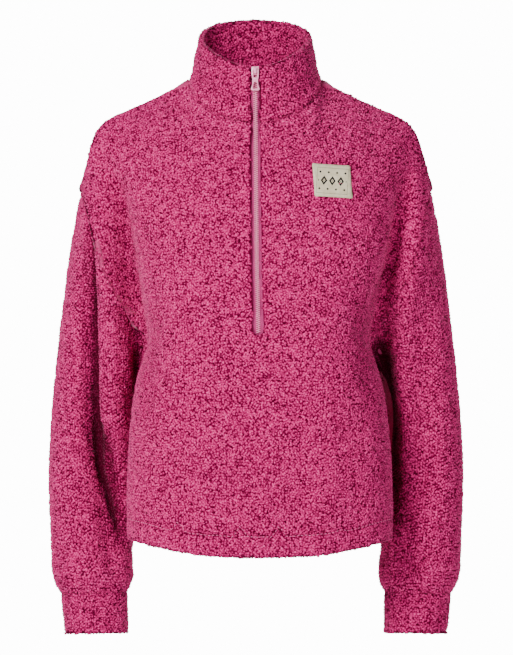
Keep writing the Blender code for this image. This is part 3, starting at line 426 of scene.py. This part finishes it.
pile_effect = effect_group("sherpa_pile", (("Color", "NodeSocketColor"), ("Normal", "NodeSocketVector")))
coords = add(pile_effect, "ShaderNodeTexCoord").outputs["Object"]
strands = veins(pile_effect, clouds(pile_effect, coords, STRAND_SCALE, 1.5))
worm = remap(pile_effect, strands, 0.0, STRAND_WIDTH, 1.0, 0.0)
fibres = clouds(pile_effect, coords, FIBRE_SCALE, 2.0)
height = add(pile_effect, "ShaderNodeAttribute", attribute_name="pile").outputs["Fac"]
shade = add(pile_effect, "ShaderNodeAttribute", attribute_name="shade").outputs["Fac"]
nap_and_shade = add(pile_effect, "ShaderNodeAttribute", attribute_name="nap_and_shade").outputs["Fac"]
bright = work_out(pile_effect, "MULTIPLY", height, TIP_LIGHT_AND_SHADE_SHARE)
for part, share in ((worm, STRAND_SHARE), (shade, CHANCE_SHARE), (fibres, FIBRE_SHARE)):
    bright = work_out(pile_effect, "MULTIPLY_ADD", part, share, bright)
# painted shade: the pile is drawn darker in the winding partings between its locks
parted = veins(pile_effect, clouds(pile_effect, coords, LOCK_SCALE, 1.0))
lit = remap(pile_effect, parted, 0.0, LOCK_PARTING, PARTING_SHADE, LOCK_BRIGHT)
pressed_and_shaded = work_out(pile_effect, "MULTIPLY", nap_and_shade, lit)
colour = ramp(pile_effect, work_out(pile_effect, "MULTIPLY", bright, pressed_and_shaded), PILE_COLOURS)
relief = work_out(pile_effect, "ADD", fibres, worm)
bump = add(pile_effect, "ShaderNodeBump",
           [("Strength", 0.7), ("Distance", PILE_RELIEF), ("Height", relief)])
add(pile_effect, "NodeGroupOutput", [("Color", colour), ("Normal", bump.outputs["Normal"])])


def surface(name, roughness, **inputs):
    """A Principled material, its node tree and its shader."""
    material = bpy.data.materials.new(name)
    material.use_nodes = True
    shader = material.node_tree.nodes["Principled BSDF"]
    shader.inputs["Roughness"].default_value = roughness
    for label, value in inputs.items():
        shader.inputs[label.replace("_", " ")].default_value = value
    return material, material.node_tree, shader


def feed(tree, shader, **sources):
    """Links what changes over a surface to the inputs of its shader."""
    for label, source in sources.items():
        tree.links.new(source, shader.inputs[label.replace("_", " ")])


def napped_surface(name, roughness, **inputs):
    """A material in the colours and relief of the pile."""
    material, tree, shader = surface(name, roughness, **inputs)
    pile = add(tree, "ShaderNodeGroup", node_tree=pile_effect)
    feed(tree, shader, Base_Color=pile.outputs["Color"], Normal=pile.outputs["Normal"])
    return material


sherpa = napped_surface("sherpa", 0.9, Sheen_Weight=0.17, Sheen_Roughness=0.45,
                        Sheen_Tint=(1.0, 0.42, 0.64, 1.0), Specular_IOR_Level=0.12)
ground = napped_surface("sherpa_ground", 1.0, Specular_IOR_Level=0.05)

# The back of the fleece is a plain knit.
KNIT_SCALE = 700.0
KNIT_LIGHT = (0.62, 0.050, 0.210)
KNIT_DARK = (0.40, 0.020, 0.115)

knit, tree, shader = surface("fleece_back", 0.85, Sheen_Weight=0.2, Specular_IOR_Level=0.2)
coords = add(tree, "ShaderNodeTexCoord").outputs["Object"]
loops = add(tree, "ShaderNodeTexVoronoi", [("Vector", coords), ("Scale", KNIT_SCALE)])
knit_colour = ramp(tree, loops.outputs["Distance"], ((0.1, KNIT_LIGHT), (0.8, KNIT_DARK)))
knit_bump = add(tree, "ShaderNodeBump",
                [("Strength", 0.5), ("Distance", 0.0006), ("Height", loops.outputs["Distance"])])
feed(tree, shader, Base_Color=knit_colour, Normal=knit_bump.outputs["Normal"])


def dress(piece, node, inside=knit):
    """Puts the cloth's materials on a wall, ties it to the garment and hides its CAD node."""
    sides = [polygon.material_index for polygon in piece.data.polygons]
    piece.data.materials.clear()
    for material in (ground, inside, ground):
        piece.data.materials.append(material)
    piece.data.polygons.foreach_set("material_index", sides)
    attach(piece, "garment")
    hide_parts(node)


def grow_pile(wall, name, faces=(OUTER, INNER, RIM)):
    """The pile of one wall: curls stood on its napped faces, as one mesh."""
    piece = bpy.data.objects.new(name, wall.data.copy())
    bpy.context.scene.collection.objects.link(piece)
    napped = piece.data.attributes["napped"].data
    for polygon in piece.data.polygons:
        if polygon.material_index not in faces:
            napped[polygon.index].value = False
    modifier = piece.modifiers.new("growth", "NODES")
    modifier.node_group = growth
    bpy.context.view_layer.update()
    apply_to(piece, modifier)
    mesh = piece.data
    loops = len(curl.data.loops)
    curls = len(mesh.loops) // loops
    cells = math.ceil(math.sqrt(curls))
    corners = np.empty(len(mesh.loops) * 2, dtype=np.float32)
    mesh.uv_layers[UV_NAME].data.foreach_get("uv", corners)
    corners = corners.reshape(curls, loops, 2)
    order = np.arange(curls)[:, None]
    corners[:, :, 0] = (corners[:, :, 0] + order % cells) / cells
    corners[:, :, 1] = (corners[:, :, 1] + order // cells) / cells
    mesh.uv_layers[UV_NAME].data.foreach_set("uv", corners.ravel())
    mesh.materials.clear()
    mesh.materials.append(sherpa)
    mesh.polygons.foreach_set("material_index", [0] * len(mesh.polygons))
    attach(piece, "garment")
    return piece


HEM_STITCH = 0.0275                     # its line runs this far above the hem
HEM_GROOVE = 0.0022                     # half the width of the groove that it draws
HEM_COLUMN = 0.010                      # the hem's height is taken in steps of this much in x
HEM_BELOW = -0.45                       # only the hem reaches this far down
HEM_END = 1e-6                          # keeps an x beyond the hem inside its last column

# Where the trunk meets the arms: x, z points of each fold, its depth and its width.
FRONT_FOLDS = (
    (((0.2028, -0.095), (0.1924, -0.153), (0.1768, -0.214), (0.1573, -0.264), (0.1440, -0.315)),
     0.0048, 0.0085),
    (((-0.179, -0.100), (-0.168, -0.170), (-0.157, -0.250), (-0.1490, -0.330)), 0.0042, 0.0090),
    (((0.131, -0.250), (0.139, -0.330), (0.149, -0.420)), 0.0030, 0.0120),
    (((-0.128, -0.262), (-0.137, -0.345), (-0.150, -0.430)), 0.0030, 0.0120),
)


def hem_line(node):
    """Height of a panel's hem at any x, from the lowest points of its solid."""
    lowest = {}
    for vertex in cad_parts[node].data.vertices:
        if vertex.co.z < HEM_BELOW:
            column = round(vertex.co.x / HEM_COLUMN)
            lowest[column] = min(lowest.get(column, 0.0), vertex.co.z)
    columns = sorted(lowest)

    def height(x):
        column = max(columns[0], min(columns[-1] - HEM_END, x / HEM_COLUMN))
        left = max(c for c in columns if c <= column)
        right = min(c for c in columns if c > column)
        share = (column - left) / (right - left)
        return lowest[left] * (1 - share) + lowest[right] * share

    return height


hem = hem_line("front")


def hem_groove(place):
    """1 on the line of the hem's stitches, less beside it."""
    return math.exp(-((place.z - hem(place.x) - HEM_STITCH) / HEM_GROOVE) ** 2)


def repeat(shape, name, places):
    """Copies of one small mesh, joined, each at its place with its three axes."""
    corners = np.array([vertex.co[:] for vertex in shape.vertices])
    faces = [tuple(polygon.vertices) for polygon in shape.polygons]
    points, polygons = [], []
    for order, (place, axes) in enumerate(places):
        base = order * len(corners)
        points.append(corners @ np.array(axes) + np.array(place))
        polygons += [tuple(base + index for index in face) for face in faces]
    mesh = bpy.data.meshes.new(name)
    mesh.from_pydata(np.concatenate(points).tolist(), [], polygons)
    mesh.update()
    piece = bpy.data.objects.new(name, mesh)
    bpy.context.scene.collection.objects.link(piece)
    return piece


def sew(name, half_size, places):
    """A line of stitches: small rounded threads, each at its place with its three axes."""
    bpy.ops.object.select_all(action="DESELECT")
    bpy.ops.mesh.primitive_ico_sphere_add(subdivisions=1, radius=1.0)
    stitch = bpy.context.object
    stitch.scale = half_size
    bpy.ops.object.transform_apply(scale=True)
    piece = repeat(stitch.data, name, places)
    bpy.data.objects.remove(stitch)
    piece.data.shade_smooth()
    return piece


PLY_SCALE = 900.0                       # of a thread's twisted plies


def spun_thread(name, roughness, shine, dark, light):
    """Sewing thread, light where its plies stand out and darker between them."""
    material, tree, shader = surface(name, roughness, Specular_IOR_Level=shine)
    coords = add(tree, "ShaderNodeTexCoord").outputs["Object"]
    plies = clouds(tree, coords, PLY_SCALE, 2.0)
    feed(tree, shader, Base_Color=ramp(tree, plies, ((0.3, dark), (0.7, light))))
    return material


HEM_THREAD = (0.0021, 0.00055, 0.00050) # half a stitch's length, width and height
HEM_STITCH_PITCH = 0.0050
HEM_TRIES = 8                           # places looked at for each stitch
HEM_THREAD_OUT = 0.0012                 # it stands this far out of the pressed pile's roots
HEM_SIDE = 0.15                         # past this turn of the surface the side seam begins

dyed_thread = spun_thread("dyed_thread", 0.6, 0.3, (0.680, 0.060, 0.250), (0.950, 0.180, 0.430))


def sew_hem(wall, node, facing):
    """The line of stitches that holds a panel's hem, in the groove that it draws."""
    low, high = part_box(node)
    skin = skin_of(wall.data)
    towards = Vector((0, facing, 0))
    found, x = [], low[0]
    while x < high[0]:
        start = Vector((x, 0, hem(x) + HEM_STITCH)) + towards
        hit, normal, _, _ = skin.ray_cast(start, -towards)
        if hit is not None and normal.dot(towards) > HEM_SIDE:
            if not found or (hit - found[-1][0]).length > HEM_STITCH_PITCH:
                found.append((hit, normal))
        x += HEM_STITCH_PITCH / HEM_TRIES
    places = []
    for (hit, normal), (ahead, _) in zip(found, found[1:]):
        along = (ahead - hit).normalized()
        outward = (normal - along * normal.dot(along)).normalized()
        places.append((hit + outward * HEM_THREAD_OUT, (along, outward.cross(along), outward)))
    stitches = sew(node + "_hem_stitches", HEM_THREAD, places)
    stitches.data.materials.append(dyed_thread)
    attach(stitches, "garment")
    return stitches


front = wall_copy("front", "front_panel", (0, -1, 0), levels=1)
lay_nap_and_shade(front, "front", folds=FRONT_FOLDS, stitched=hem_groove)
dress(front, "front")
front_pile = grow_pile(front, "front_pile")
front_stitches = sew_hem(front, "front", -1)


# ------------------------------------------------------------------ back panel
# The same cloth, cut on the fold as one piece, with its pile outwards. It is sewn to the front
# at the shoulders and the sides, and its hem is turned up and stitched like the front's.

BACK_FOLDS = (
    (((0.195, -0.110), (0.180, -0.190), (0.160, -0.265), (0.148, -0.320)), 0.0070, 0.0080),
    (((-0.190, -0.105), (-0.176, -0.185), (-0.158, -0.262), (-0.148, -0.325)), 0.0065, 0.0080),
)

hem = hem_line("back")
back = wall_copy("back", "back_panel", (0, 1, 0), levels=1)
lay_nap_and_shade(back, "back", back_folds=BACK_FOLDS, stitched=hem_groove)
dress(back, "back")
back_pile = grow_pile(back, "back_pile")
back_stitches = sew_hem(back, "back", 1)


# ------------------------------------------------------------------ collar
# A stand collar, one band of sherpa folded over at its rim, so that its inside shows pile too.
# It is sewn round the neck and open at the front, where the zip ends in it.

COLLAR_LIFT = 0.0026                    # the back of its rim stands this much higher than its solid
COLLAR_LIFT_FROM = 0.030                # the lift begins at this height
COLLAR_NAP_AND_SHADE = 0.93                       # the pile of a folded band lies closer, and is drawn darker all over as painted shade

collar = wall_copy("collar", "stand_collar", (0, -1, 0), levels=2, extra=0)
low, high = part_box("collar")
for vertex in collar.data.vertices:
    share = max(0.0, (vertex.co.z - COLLAR_LIFT_FROM) / (high[2] - COLLAR_LIFT_FROM))
    vertex.co.z += COLLAR_LIFT * share
lay_nap_and_shade(collar, "collar", faces=(OUTER, INNER), base_nap_and_shade=COLLAR_NAP_AND_SHADE)
dress(collar, "collar", inside=ground)
collar_pile = grow_pile(collar, "collar_pile", (OUTER, RIM))
collar_inner_pile = grow_pile(collar, "collar_inner_pile", (INNER,))


# ------------------------------------------------------------------ sleeves
# Two tubes of sherpa, each one piece with a seam under the arm. They are set low on the
# dropped shoulders, hang in long folds and are gathered into the cuffs.

UNDERARM = (-0.345, 0.045)              # z of the underarm, and how far it reaches
UNDERARM_TUCK = 0.008                   # there the sleeve is pressed in behind the trunk
UNDERARM_EDGE = 0.175                   # distance from the middle where the tuck begins
UNDERARM_FADE = 0.02

# Long folds down the sleeves: x, z points, depth, width.
SLEEVE_FOLDS = {
    "sleeve_right": (
        (((-0.2200, -0.125), (-0.2140, -0.216), (-0.2093, -0.394), (-0.2028, -0.484), (-0.1937, -0.524),
          (-0.1790, -0.570)), 0.0100, 0.0036),
        (((-0.2240, -0.170), (-0.2190, -0.260), (-0.2160, -0.394), (-0.2100, -0.484)), 0.0050, 0.0095),
        (((-0.1640, -0.190), (-0.1570, -0.250), (-0.1500, -0.320), (-0.1510, -0.400)), 0.0095, 0.0085),
        (((-0.2020, -0.420), (-0.1920, -0.480), (-0.1810, -0.540), (-0.1720, -0.600)), 0.0085, 0.0130),
    ),
    "sleeve_left": (
        (((0.1950, -0.140), (0.1790, -0.205), (0.1630, -0.255), (0.1530, -0.295), (0.1590, -0.350),
          (0.1660, -0.430), (0.1720, -0.530)), 0.0090, 0.0120),
        (((0.1600, -0.290), (0.1700, -0.390), (0.1780, -0.490), (0.1830, -0.590)), 0.0050, 0.0170),
        (((0.2262, -0.596), (0.2080, -0.612), (0.1807, -0.6344)), 0.0040, 0.0060),
        (((0.2130, -0.140), (0.2080, -0.190), (0.2020, -0.235)), 0.0025, 0.0070),
    ),
}
SLEEVE_BACK_FOLDS = {
    "sleeve_right": (
        (((-0.2150, -0.150), (-0.2050, -0.270), (-0.2030, -0.400), (-0.1900, -0.520)),
         0.0080, 0.0070),
    ),
    "sleeve_left": (
        (((0.2100, -0.160), (0.2060, -0.290), (0.1990, -0.420), (0.1930, -0.540)),
         0.0080, 0.0070),
    ),
}

sleeves = {}
for side, node in ((1, "sleeve_left"), (-1, "sleeve_right")):
    sleeve = wall_copy(node, node + "_cloth", (side, 0, 0), levels=1, extra=2)
    for vertex in sleeve.data.vertices:
        inward = max(0.0, min(1.0, (UNDERARM_EDGE - side * vertex.co.x) / UNDERARM_FADE))
        tuck = math.exp(-((vertex.co.z - UNDERARM[0]) / UNDERARM[1]) ** 2) * inward
        vertex.co.x -= side * UNDERARM_TUCK * tuck
    lay_nap_and_shade(sleeve, node, folds=SLEEVE_FOLDS[node], back_folds=SLEEVE_BACK_FOLDS[node])
    dress(sleeve, node)
    pile = grow_pile(sleeve, node + "_pile")
    sleeves[node] = sleeve


# ------------------------------------------------------------------ cuffs
# A band of the same cloth round each wrist, folded double and closed with a seam. The sleeve
# is gathered into its upper edge.

# the pile of a folded band lies closer, and is drawn darker all over as painted shade
CUFF_NAP_AND_SHADE = 0.95

for side, node in ((1, "cuff_left"), (-1, "cuff_right")):
    cuff = wall_copy(node, node + "_band", (side, 0, 0), levels=2, extra=0)
    lay_nap_and_shade(cuff, node, base_nap_and_shade=CUFF_NAP_AND_SHADE)
    dress(cuff, node)
    pile = grow_pile(cuff, node + "_pile")
    sleeve = sleeves[node.replace("cuff", "sleeve")]

bpy.data.objects.remove(curl)


# ------------------------------------------------------------------ zip tapes
# Two woven polyester tapes behind the slit, dyed to the cloth. A strip of the wearer's left
# one shows beside the teeth.

TAPE_RIB = 0.0008                       # pitch of the weave's ribs
WAVE_TURN = 0.628                       # a diagonal wave of scale 1 repeats at this distance

TAPE_DARK = (0.34, 0.012, 0.110)
TAPE_LIGHT = (0.72, 0.075, 0.280)

tape_cloth, tree, shader = surface("tape_weave", 0.8, Sheen_Weight=0.1,
                                   Sheen_Tint=(1.0, 0.4, 0.6, 1.0), Specular_IOR_Level=0.15)
coords = add(tree, "ShaderNodeTexCoord").outputs["Object"]
ribs = add(tree, "ShaderNodeTexWave",
           [("Vector", coords), ("Scale", WAVE_TURN / TAPE_RIB), ("Distortion", 1.2), ("Detail", 1.0)],
           bands_direction="DIAGONAL").outputs["Fac"]
tape_colour = ramp(tree, ribs, ((0.1, TAPE_DARK), (0.9, TAPE_LIGHT)))
tape_bump = add(tree, "ShaderNodeBump", [("Strength", 0.6), ("Distance", 0.0004), ("Height", ribs)])
feed(tree, shader, Base_Color=tape_colour, Normal=tape_bump.outputs["Normal"])

for node in tapes:
    tape = wall_copy(node, node + "_woven", (0, -1, 0), levels=1, extra=0)
    tape.data.materials.clear()
    for _ in (OUTER, INNER, RIM):
        tape.data.materials.append(tape_cloth)
    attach(tape, "garment")
    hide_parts(node)


# ------------------------------------------------------------------ zip chain
# Moulded teeth in two rows, one on the bead of each tape, meshed on the middle line.

TOOTH_PITCH = 0.0026
TOOTH = (0.0030, 0.0020, 0.0011)        # along X, Y and Z
TOOTH_OFFSET = 0.00115                  # of each row from the middle line
TOOTH_EDGE = 0.00025
CHAIN_REACH = 0.002                     # the chain's slope is taken this far up and down
PLASTIC_DARK = (0.90, 0.210, 0.400)
PLASTIC_LIGHT = (0.96, 0.310, 0.510)

zip_plastic, tree, shader = surface("zip_plastic", 0.38, Specular_IOR_Level=0.5,
                                    Coat_Weight=0.15, Coat_Roughness=0.3)
coords = add(tree, "ShaderNodeTexCoord").outputs["Object"]
cloud = clouds(tree, coords, 420.0, 2.0)
feed(tree, shader, Base_Color=ramp(tree, cloud, ((0.3, PLASTIC_DARK), (0.7, PLASTIC_LIGHT))),
     Roughness=remap(tree, cloud, 0.0, 1.0, 0.30, 0.50))

rows = {}
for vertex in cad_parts["zip_chain"].data.vertices:
    rows.setdefault(round(vertex.co.z, 4), []).append(vertex.co)
chain_z = sorted(rows)
chain_x = [sum(co.x for co in rows[z]) / len(rows[z]) for z in chain_z]
chain_y = [(min(co.y for co in rows[z]) + max(co.y for co in rows[z])) / 2 for z in chain_z]


def chain_point(z):
    """The middle of the closed chain at a height."""
    return Vector((np.interp(z, chain_z, chain_x), np.interp(z, chain_z, chain_y), z))


bpy.ops.object.select_all(action="DESELECT")
bpy.ops.mesh.primitive_cube_add(size=1.0)
tooth = bpy.context.object
tooth.scale = TOOTH
bpy.ops.object.transform_apply(scale=True)
bpy.ops.object.mode_set(mode="EDIT")
bpy.ops.mesh.select_all(action="SELECT")
bpy.ops.mesh.bevel(offset=TOOTH_EDGE, segments=1, affect="EDGES")
bpy.ops.object.mode_set(mode="OBJECT")

places = []
top, bottom = chain_z[-1] - TOOTH[2] / 2, chain_z[0] + TOOTH[2] / 2
count = int((top - bottom) / (TOOTH_PITCH / 2))
for order in range(count + 1):
    z = bottom + order * TOOTH_PITCH / 2
    middle = chain_point(z)
    along = (chain_point(z + CHAIN_REACH) - chain_point(z - CHAIN_REACH)).normalized()
    outward = Vector((1, 0, 0)).cross(along).normalized()
    side = 1 if order % 2 else -1
    sideways = along.cross(outward)
    places.append((middle + sideways * side * TOOTH_OFFSET, (sideways, outward, along)))
teeth = repeat(tooth.data, "zip_teeth", places)
bpy.data.objects.remove(tooth)
teeth.data.materials.append(zip_plastic)
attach(teeth, "garment")
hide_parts("zip_chain")


# ------------------------------------------------------------------ zip slider and pull
# Die-cast and lacquered in the colour of the teeth. The pull hangs from the slider's bridge
# and swings on it.

LACQUER_EDGE = 0.00022
FLAT = math.radians(2)                  # faces that turn less than this are one
FACET = math.radians(35)                # edges that turn more than this are rounded
LACQUER_DARK = (0.93, 0.240, 0.440)
LACQUER_LIGHT = (0.97, 0.340, 0.540)

lacquer, tree, shader = surface("lacquer", 0.3, Coat_Weight=0.5, Coat_Roughness=0.12,
                                Specular_IOR_Level=0.55)
coords = add(tree, "ShaderNodeTexCoord").outputs["Object"]
flow = clouds(tree, coords, 260.0, 3.0)
feed(tree, shader, Base_Color=ramp(tree, flow, ((0.25, LACQUER_DARK), (0.75, LACQUER_LIGHT))),
     Roughness=remap(tree, flow, 0.0, 1.0, 0.22, 0.42))

for node, body in (("zip_slider", "garment"), ("zip_pull", "pull_tab")):
    part = bpy.data.objects.new(node + "_cast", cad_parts[node].data.copy())
    bpy.context.scene.collection.objects.link(part)
    build = bmesh.new()
    build.from_mesh(part.data)
    bmesh.ops.remove_doubles(build, verts=build.verts, dist=MERGE)
    bmesh.ops.dissolve_limit(build, angle_limit=FLAT, verts=build.verts, edges=build.edges)
    build.to_mesh(part.data)
    build.free()
    rounded = part.modifiers.new("rounded", "BEVEL")
    rounded.width = LACQUER_EDGE
    rounded.segments = 2
    rounded.limit_method = "ANGLE"
    rounded.angle_limit = FACET
    apply_to(part, rounded)
    part.data.shade_smooth()
    part.data.set_sharp_from_angle(angle=FACET)
    part.data.materials.clear()
    part.data.materials.append(lacquer)
    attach(part, body)
    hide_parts(node)


# ------------------------------------------------------------------ patch
# A woven cotton patch on the wearer's left chest, held by a line of small stitches along its
# edges. Its design is a plain row of dark diamonds between rows of dots, inside a thin border.

PATCH_TILT = math.radians(4.1)
PATCH_HALF = (0.0246, 0.0209)           # half its width and half its height
BORDER_IN = 0.0045
BORDER_LINE = 0.00035
DIAMOND_PITCH = 0.0108
DIAMOND = (0.0044, 0.0062)
DIAMOND_CORE = 0.40                     # of its size, left pale
DIAMOND_DOT = 0.18
DOT_ROW = 0.0108
DOT_SIZE = 0.0017
THREAD_DARK = (0.012, 0.010, 0.010)
BORDER_SHADE = 0.55                     # of the dark thread's strength, in the border
CREAM_DARK = (0.520, 0.430, 0.270)
CREAM_LIGHT = (0.830, 0.735, 0.550)
WEAVE_SCALE = 330.0
BLOTCH_SCALE = 150.0

patch_cloth, tree, shader = surface("patch_weave", 0.85, Sheen_Weight=0.1, Specular_IOR_Level=0.2)
low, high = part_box("patch")
middle = [(a + b) / 2 for a, b in zip(low, high)]


def reckon(operation, *values):
    """One sum in the patch's material."""
    return work_out(tree, operation, *values)


coords = add(tree, "ShaderNodeTexCoord").outputs["Object"]
laid = add(tree, "ShaderNodeMapping",
           [("Vector", coords), ("Location", middle), ("Rotation", (0, PATCH_TILT, 0))],
           vector_type="TEXTURE").outputs["Vector"]
across = add(tree, "ShaderNodeSeparateXYZ", [("Vector", laid)])
u, v = across.outputs["X"], across.outputs["Z"]
tall_v = reckon("ABSOLUTE", v)
edge = reckon("MAXIMUM", reckon("SUBTRACT", reckon("ABSOLUTE", u), PATCH_HALF[0] - BORDER_IN),
              reckon("SUBTRACT", tall_v, PATCH_HALF[1] - BORDER_IN))
border = reckon("LESS_THAN", reckon("ABSOLUTE", edge), BORDER_LINE)
within = reckon("LESS_THAN", edge, -DOT_SIZE)
beside = reckon("PINGPONG", u, DIAMOND_PITCH / 2)
slant = reckon("ADD", reckon("DIVIDE", beside, DIAMOND[0]), reckon("DIVIDE", tall_v, DIAMOND[1]))
ring = reckon("MULTIPLY", reckon("LESS_THAN", slant, 1.0), reckon("GREATER_THAN", slant, DIAMOND_CORE))
heart = reckon("LESS_THAN", slant, DIAMOND_DOT)
between = reckon("PINGPONG", reckon("ADD", u, DIAMOND_PITCH / 2), DIAMOND_PITCH / 2)
from_row = reckon("ABSOLUTE", reckon("SUBTRACT", tall_v, DOT_ROW))
dots = reckon("LESS_THAN", reckon("ADD", between, from_row), DOT_SIZE)
motif = reckon("MULTIPLY", within, reckon("MAXIMUM", reckon("MAXIMUM", ring, heart), dots))
faint = reckon("MULTIPLY", border, BORDER_SHADE)
thread = reckon("MAXIMUM", motif, faint)
yarns = [("Vector", laid), ("Scale", WEAVE_SCALE), ("Distortion", 0.8)]
warp = add(tree, "ShaderNodeTexWave", yarns, bands_direction="X").outputs["Fac"]
weft = add(tree, "ShaderNodeTexWave", yarns, bands_direction="Z").outputs["Fac"]
weave = reckon("MULTIPLY", warp, weft)
blotched = reckon("MULTIPLY_ADD", weave, 0.5, clouds(tree, coords, BLOTCH_SCALE, 3.0))
cream = ramp(tree, blotched, ((0.3, CREAM_DARK), (1.0, CREAM_LIGHT)))
woven = add(tree, "ShaderNodeMix", [("Factor", thread), (6, cream), (7, (*THREAD_DARK, 1))],
            data_type="RGBA")
raised = reckon("MULTIPLY_ADD", thread, 0.8, weave)
patch_bump = add(tree, "ShaderNodeBump",
                 [("Strength", 0.5), ("Distance", 0.0003), ("Height", raised)])
feed(tree, shader, Base_Color=woven.outputs[2], Normal=patch_bump.outputs["Normal"])

patch = wall_copy("patch", "patch_woven", (0, -1, 0), levels=1, extra=0)
patch.data.materials.clear()
patch.data.materials.append(patch_cloth)
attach(patch, "garment")
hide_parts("patch")

PATCH_STITCH = (0.0015, 0.00045, 0.00035)   # half its length, width and height
PATCH_STITCH_PITCH = 0.0042
PATCH_STITCH_IN = 0.0017                # from the patch's edge
SEWN_FROM = 0.05                        # the patch is looked for from this far in front

cream_thread = spun_thread("cream_thread", 0.75, 0.25, (0.520, 0.440, 0.320), (0.800, 0.730, 0.600))
patch_skin = skin_of(patch.data)
turn = Matrix.Rotation(PATCH_TILT, 3, "Y")
half_u, half_v = (half - PATCH_STITCH_IN for half in PATCH_HALF)
level, upright = Vector((1, 0, 0)), Vector((0, 0, 1))
rounds = []
for half, run, fixed in ((half_u, level, upright * half_v), (half_u, level, upright * -half_v),
                         (half_v, upright, level * half_u), (half_v, upright, level * -half_u)):
    steps = int(2 * half / PATCH_STITCH_PITCH)
    for order in range(steps):
        share = (order + 0.5) / steps * 2 - 1
        spot = turn @ (fixed + run * half * share) + Vector(middle)
        rounds.append((spot, turn @ run))
edge_places = []
for spot, run in rounds:
    before = Vector((spot.x, low[1] - SEWN_FROM, spot.z))
    hit, normal, _, _ = patch_skin.ray_cast(before, Vector((0, 1, 0)))
    if hit is not None:
        along = (run - normal * run.dot(normal)).normalized()
        edge_places.append((hit, (along, normal.cross(along), normal)))
patch_stitches = sew("patch_stitches", PATCH_STITCH, edge_places)
patch_stitches.data.materials.append(cream_thread)
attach(patch_stitches, "garment")


# ------------------------------------------------------------------ studio
# A pale floor below the garment, a soft key from the upper left and weak fill all round.

FLOOR_SIZE = 26.0                       # no wider, so that it lies below the main view
FLOOR_Z = -1.05
AMBIENT = 0.42
BACKDROP = 14.0                         # seen by the camera alone

bpy.ops.mesh.primitive_plane_add(size=FLOOR_SIZE, location=(0, 0, FLOOR_Z))
floor = bpy.context.object
floor.name = "floor"
floor_paint, _, _ = surface("floor_paint", 0.8, Base_Color=(0.9, 0.9, 0.9, 1.0),
                            Emission_Strength=0.12, Emission_Color=(1.0, 1.0, 1.0, 1.0))
floor.data.materials.append(floor_paint)

world = bpy.data.worlds.new("studio")
bpy.context.scene.world = world
world.use_nodes = True
tree = world.node_tree
ambient = tree.nodes["Background"]
ambient.inputs["Strength"].default_value = AMBIENT
backdrop = add(tree, "ShaderNodeBackground", [("Color", (1, 1, 1, 1)), ("Strength", BACKDROP)])
seen = add(tree, "ShaderNodeLightPath").outputs["Is Camera Ray"]
mixed = add(tree, "ShaderNodeMixShader", [(0, seen), (1, ambient.outputs[0]), (2, backdrop.outputs[0])])
tree.links.new(mixed.outputs[0], tree.nodes["World Output"].inputs["Surface"])


def soft_light(name, place, aim, size, power):
    """A round panel of light at a place, turned to what it lights."""
    light = bpy.data.lights.new(name, "AREA")
    light.shape = "DISK"
    light.size = size
    light.energy = power
    lamp = bpy.data.objects.new(name, light)
    lamp.location = place
    lamp.rotation_euler = (Vector(aim) - Vector(place)).to_track_quat("-Z", "Y").to_euler()
    bpy.context.scene.collection.objects.link(lamp)


soft_light("key", (-1.8, -3.1, 1.3), (0, 0, -0.3), 1.4, 214)
soft_light("fill", (2.2, -2.8, 0.6), (0, 0, -0.3), 2.0, 44)
soft_light("back", (1.2, 3.2, 1.6), (0, 0, -0.25), 2.2, 180)


# ------------------------------------------------------------------ camera
# Level with the middle of the garment, far off with a long lens, as the photo is taken.

CAMERA_DISTANCE = 20.0
VIEW_CENTRE = (0.0007, -0.2997)         # x, z at the middle of the picture
VIEW_HEIGHT = 0.8515                    # of the plane through the neck
SENSOR = 24.0                           # millimetres

view = bpy.data.cameras.new("camera")
view.sensor_fit = "VERTICAL"
view.sensor_height = SENSOR
view.lens = SENSOR * CAMERA_DISTANCE / VIEW_HEIGHT
view.clip_end = 5 * CAMERA_DISTANCE
camera = bpy.data.objects.new("camera", view)
camera.location = (VIEW_CENTRE[0], -CAMERA_DISTANCE, VIEW_CENTRE[1])
camera.rotation_euler = (math.pi / 2, 0, 0)
bpy.context.scene.collection.objects.link(camera)
bpy.context.scene.camera = camera

bpy.context.view_layer.update()
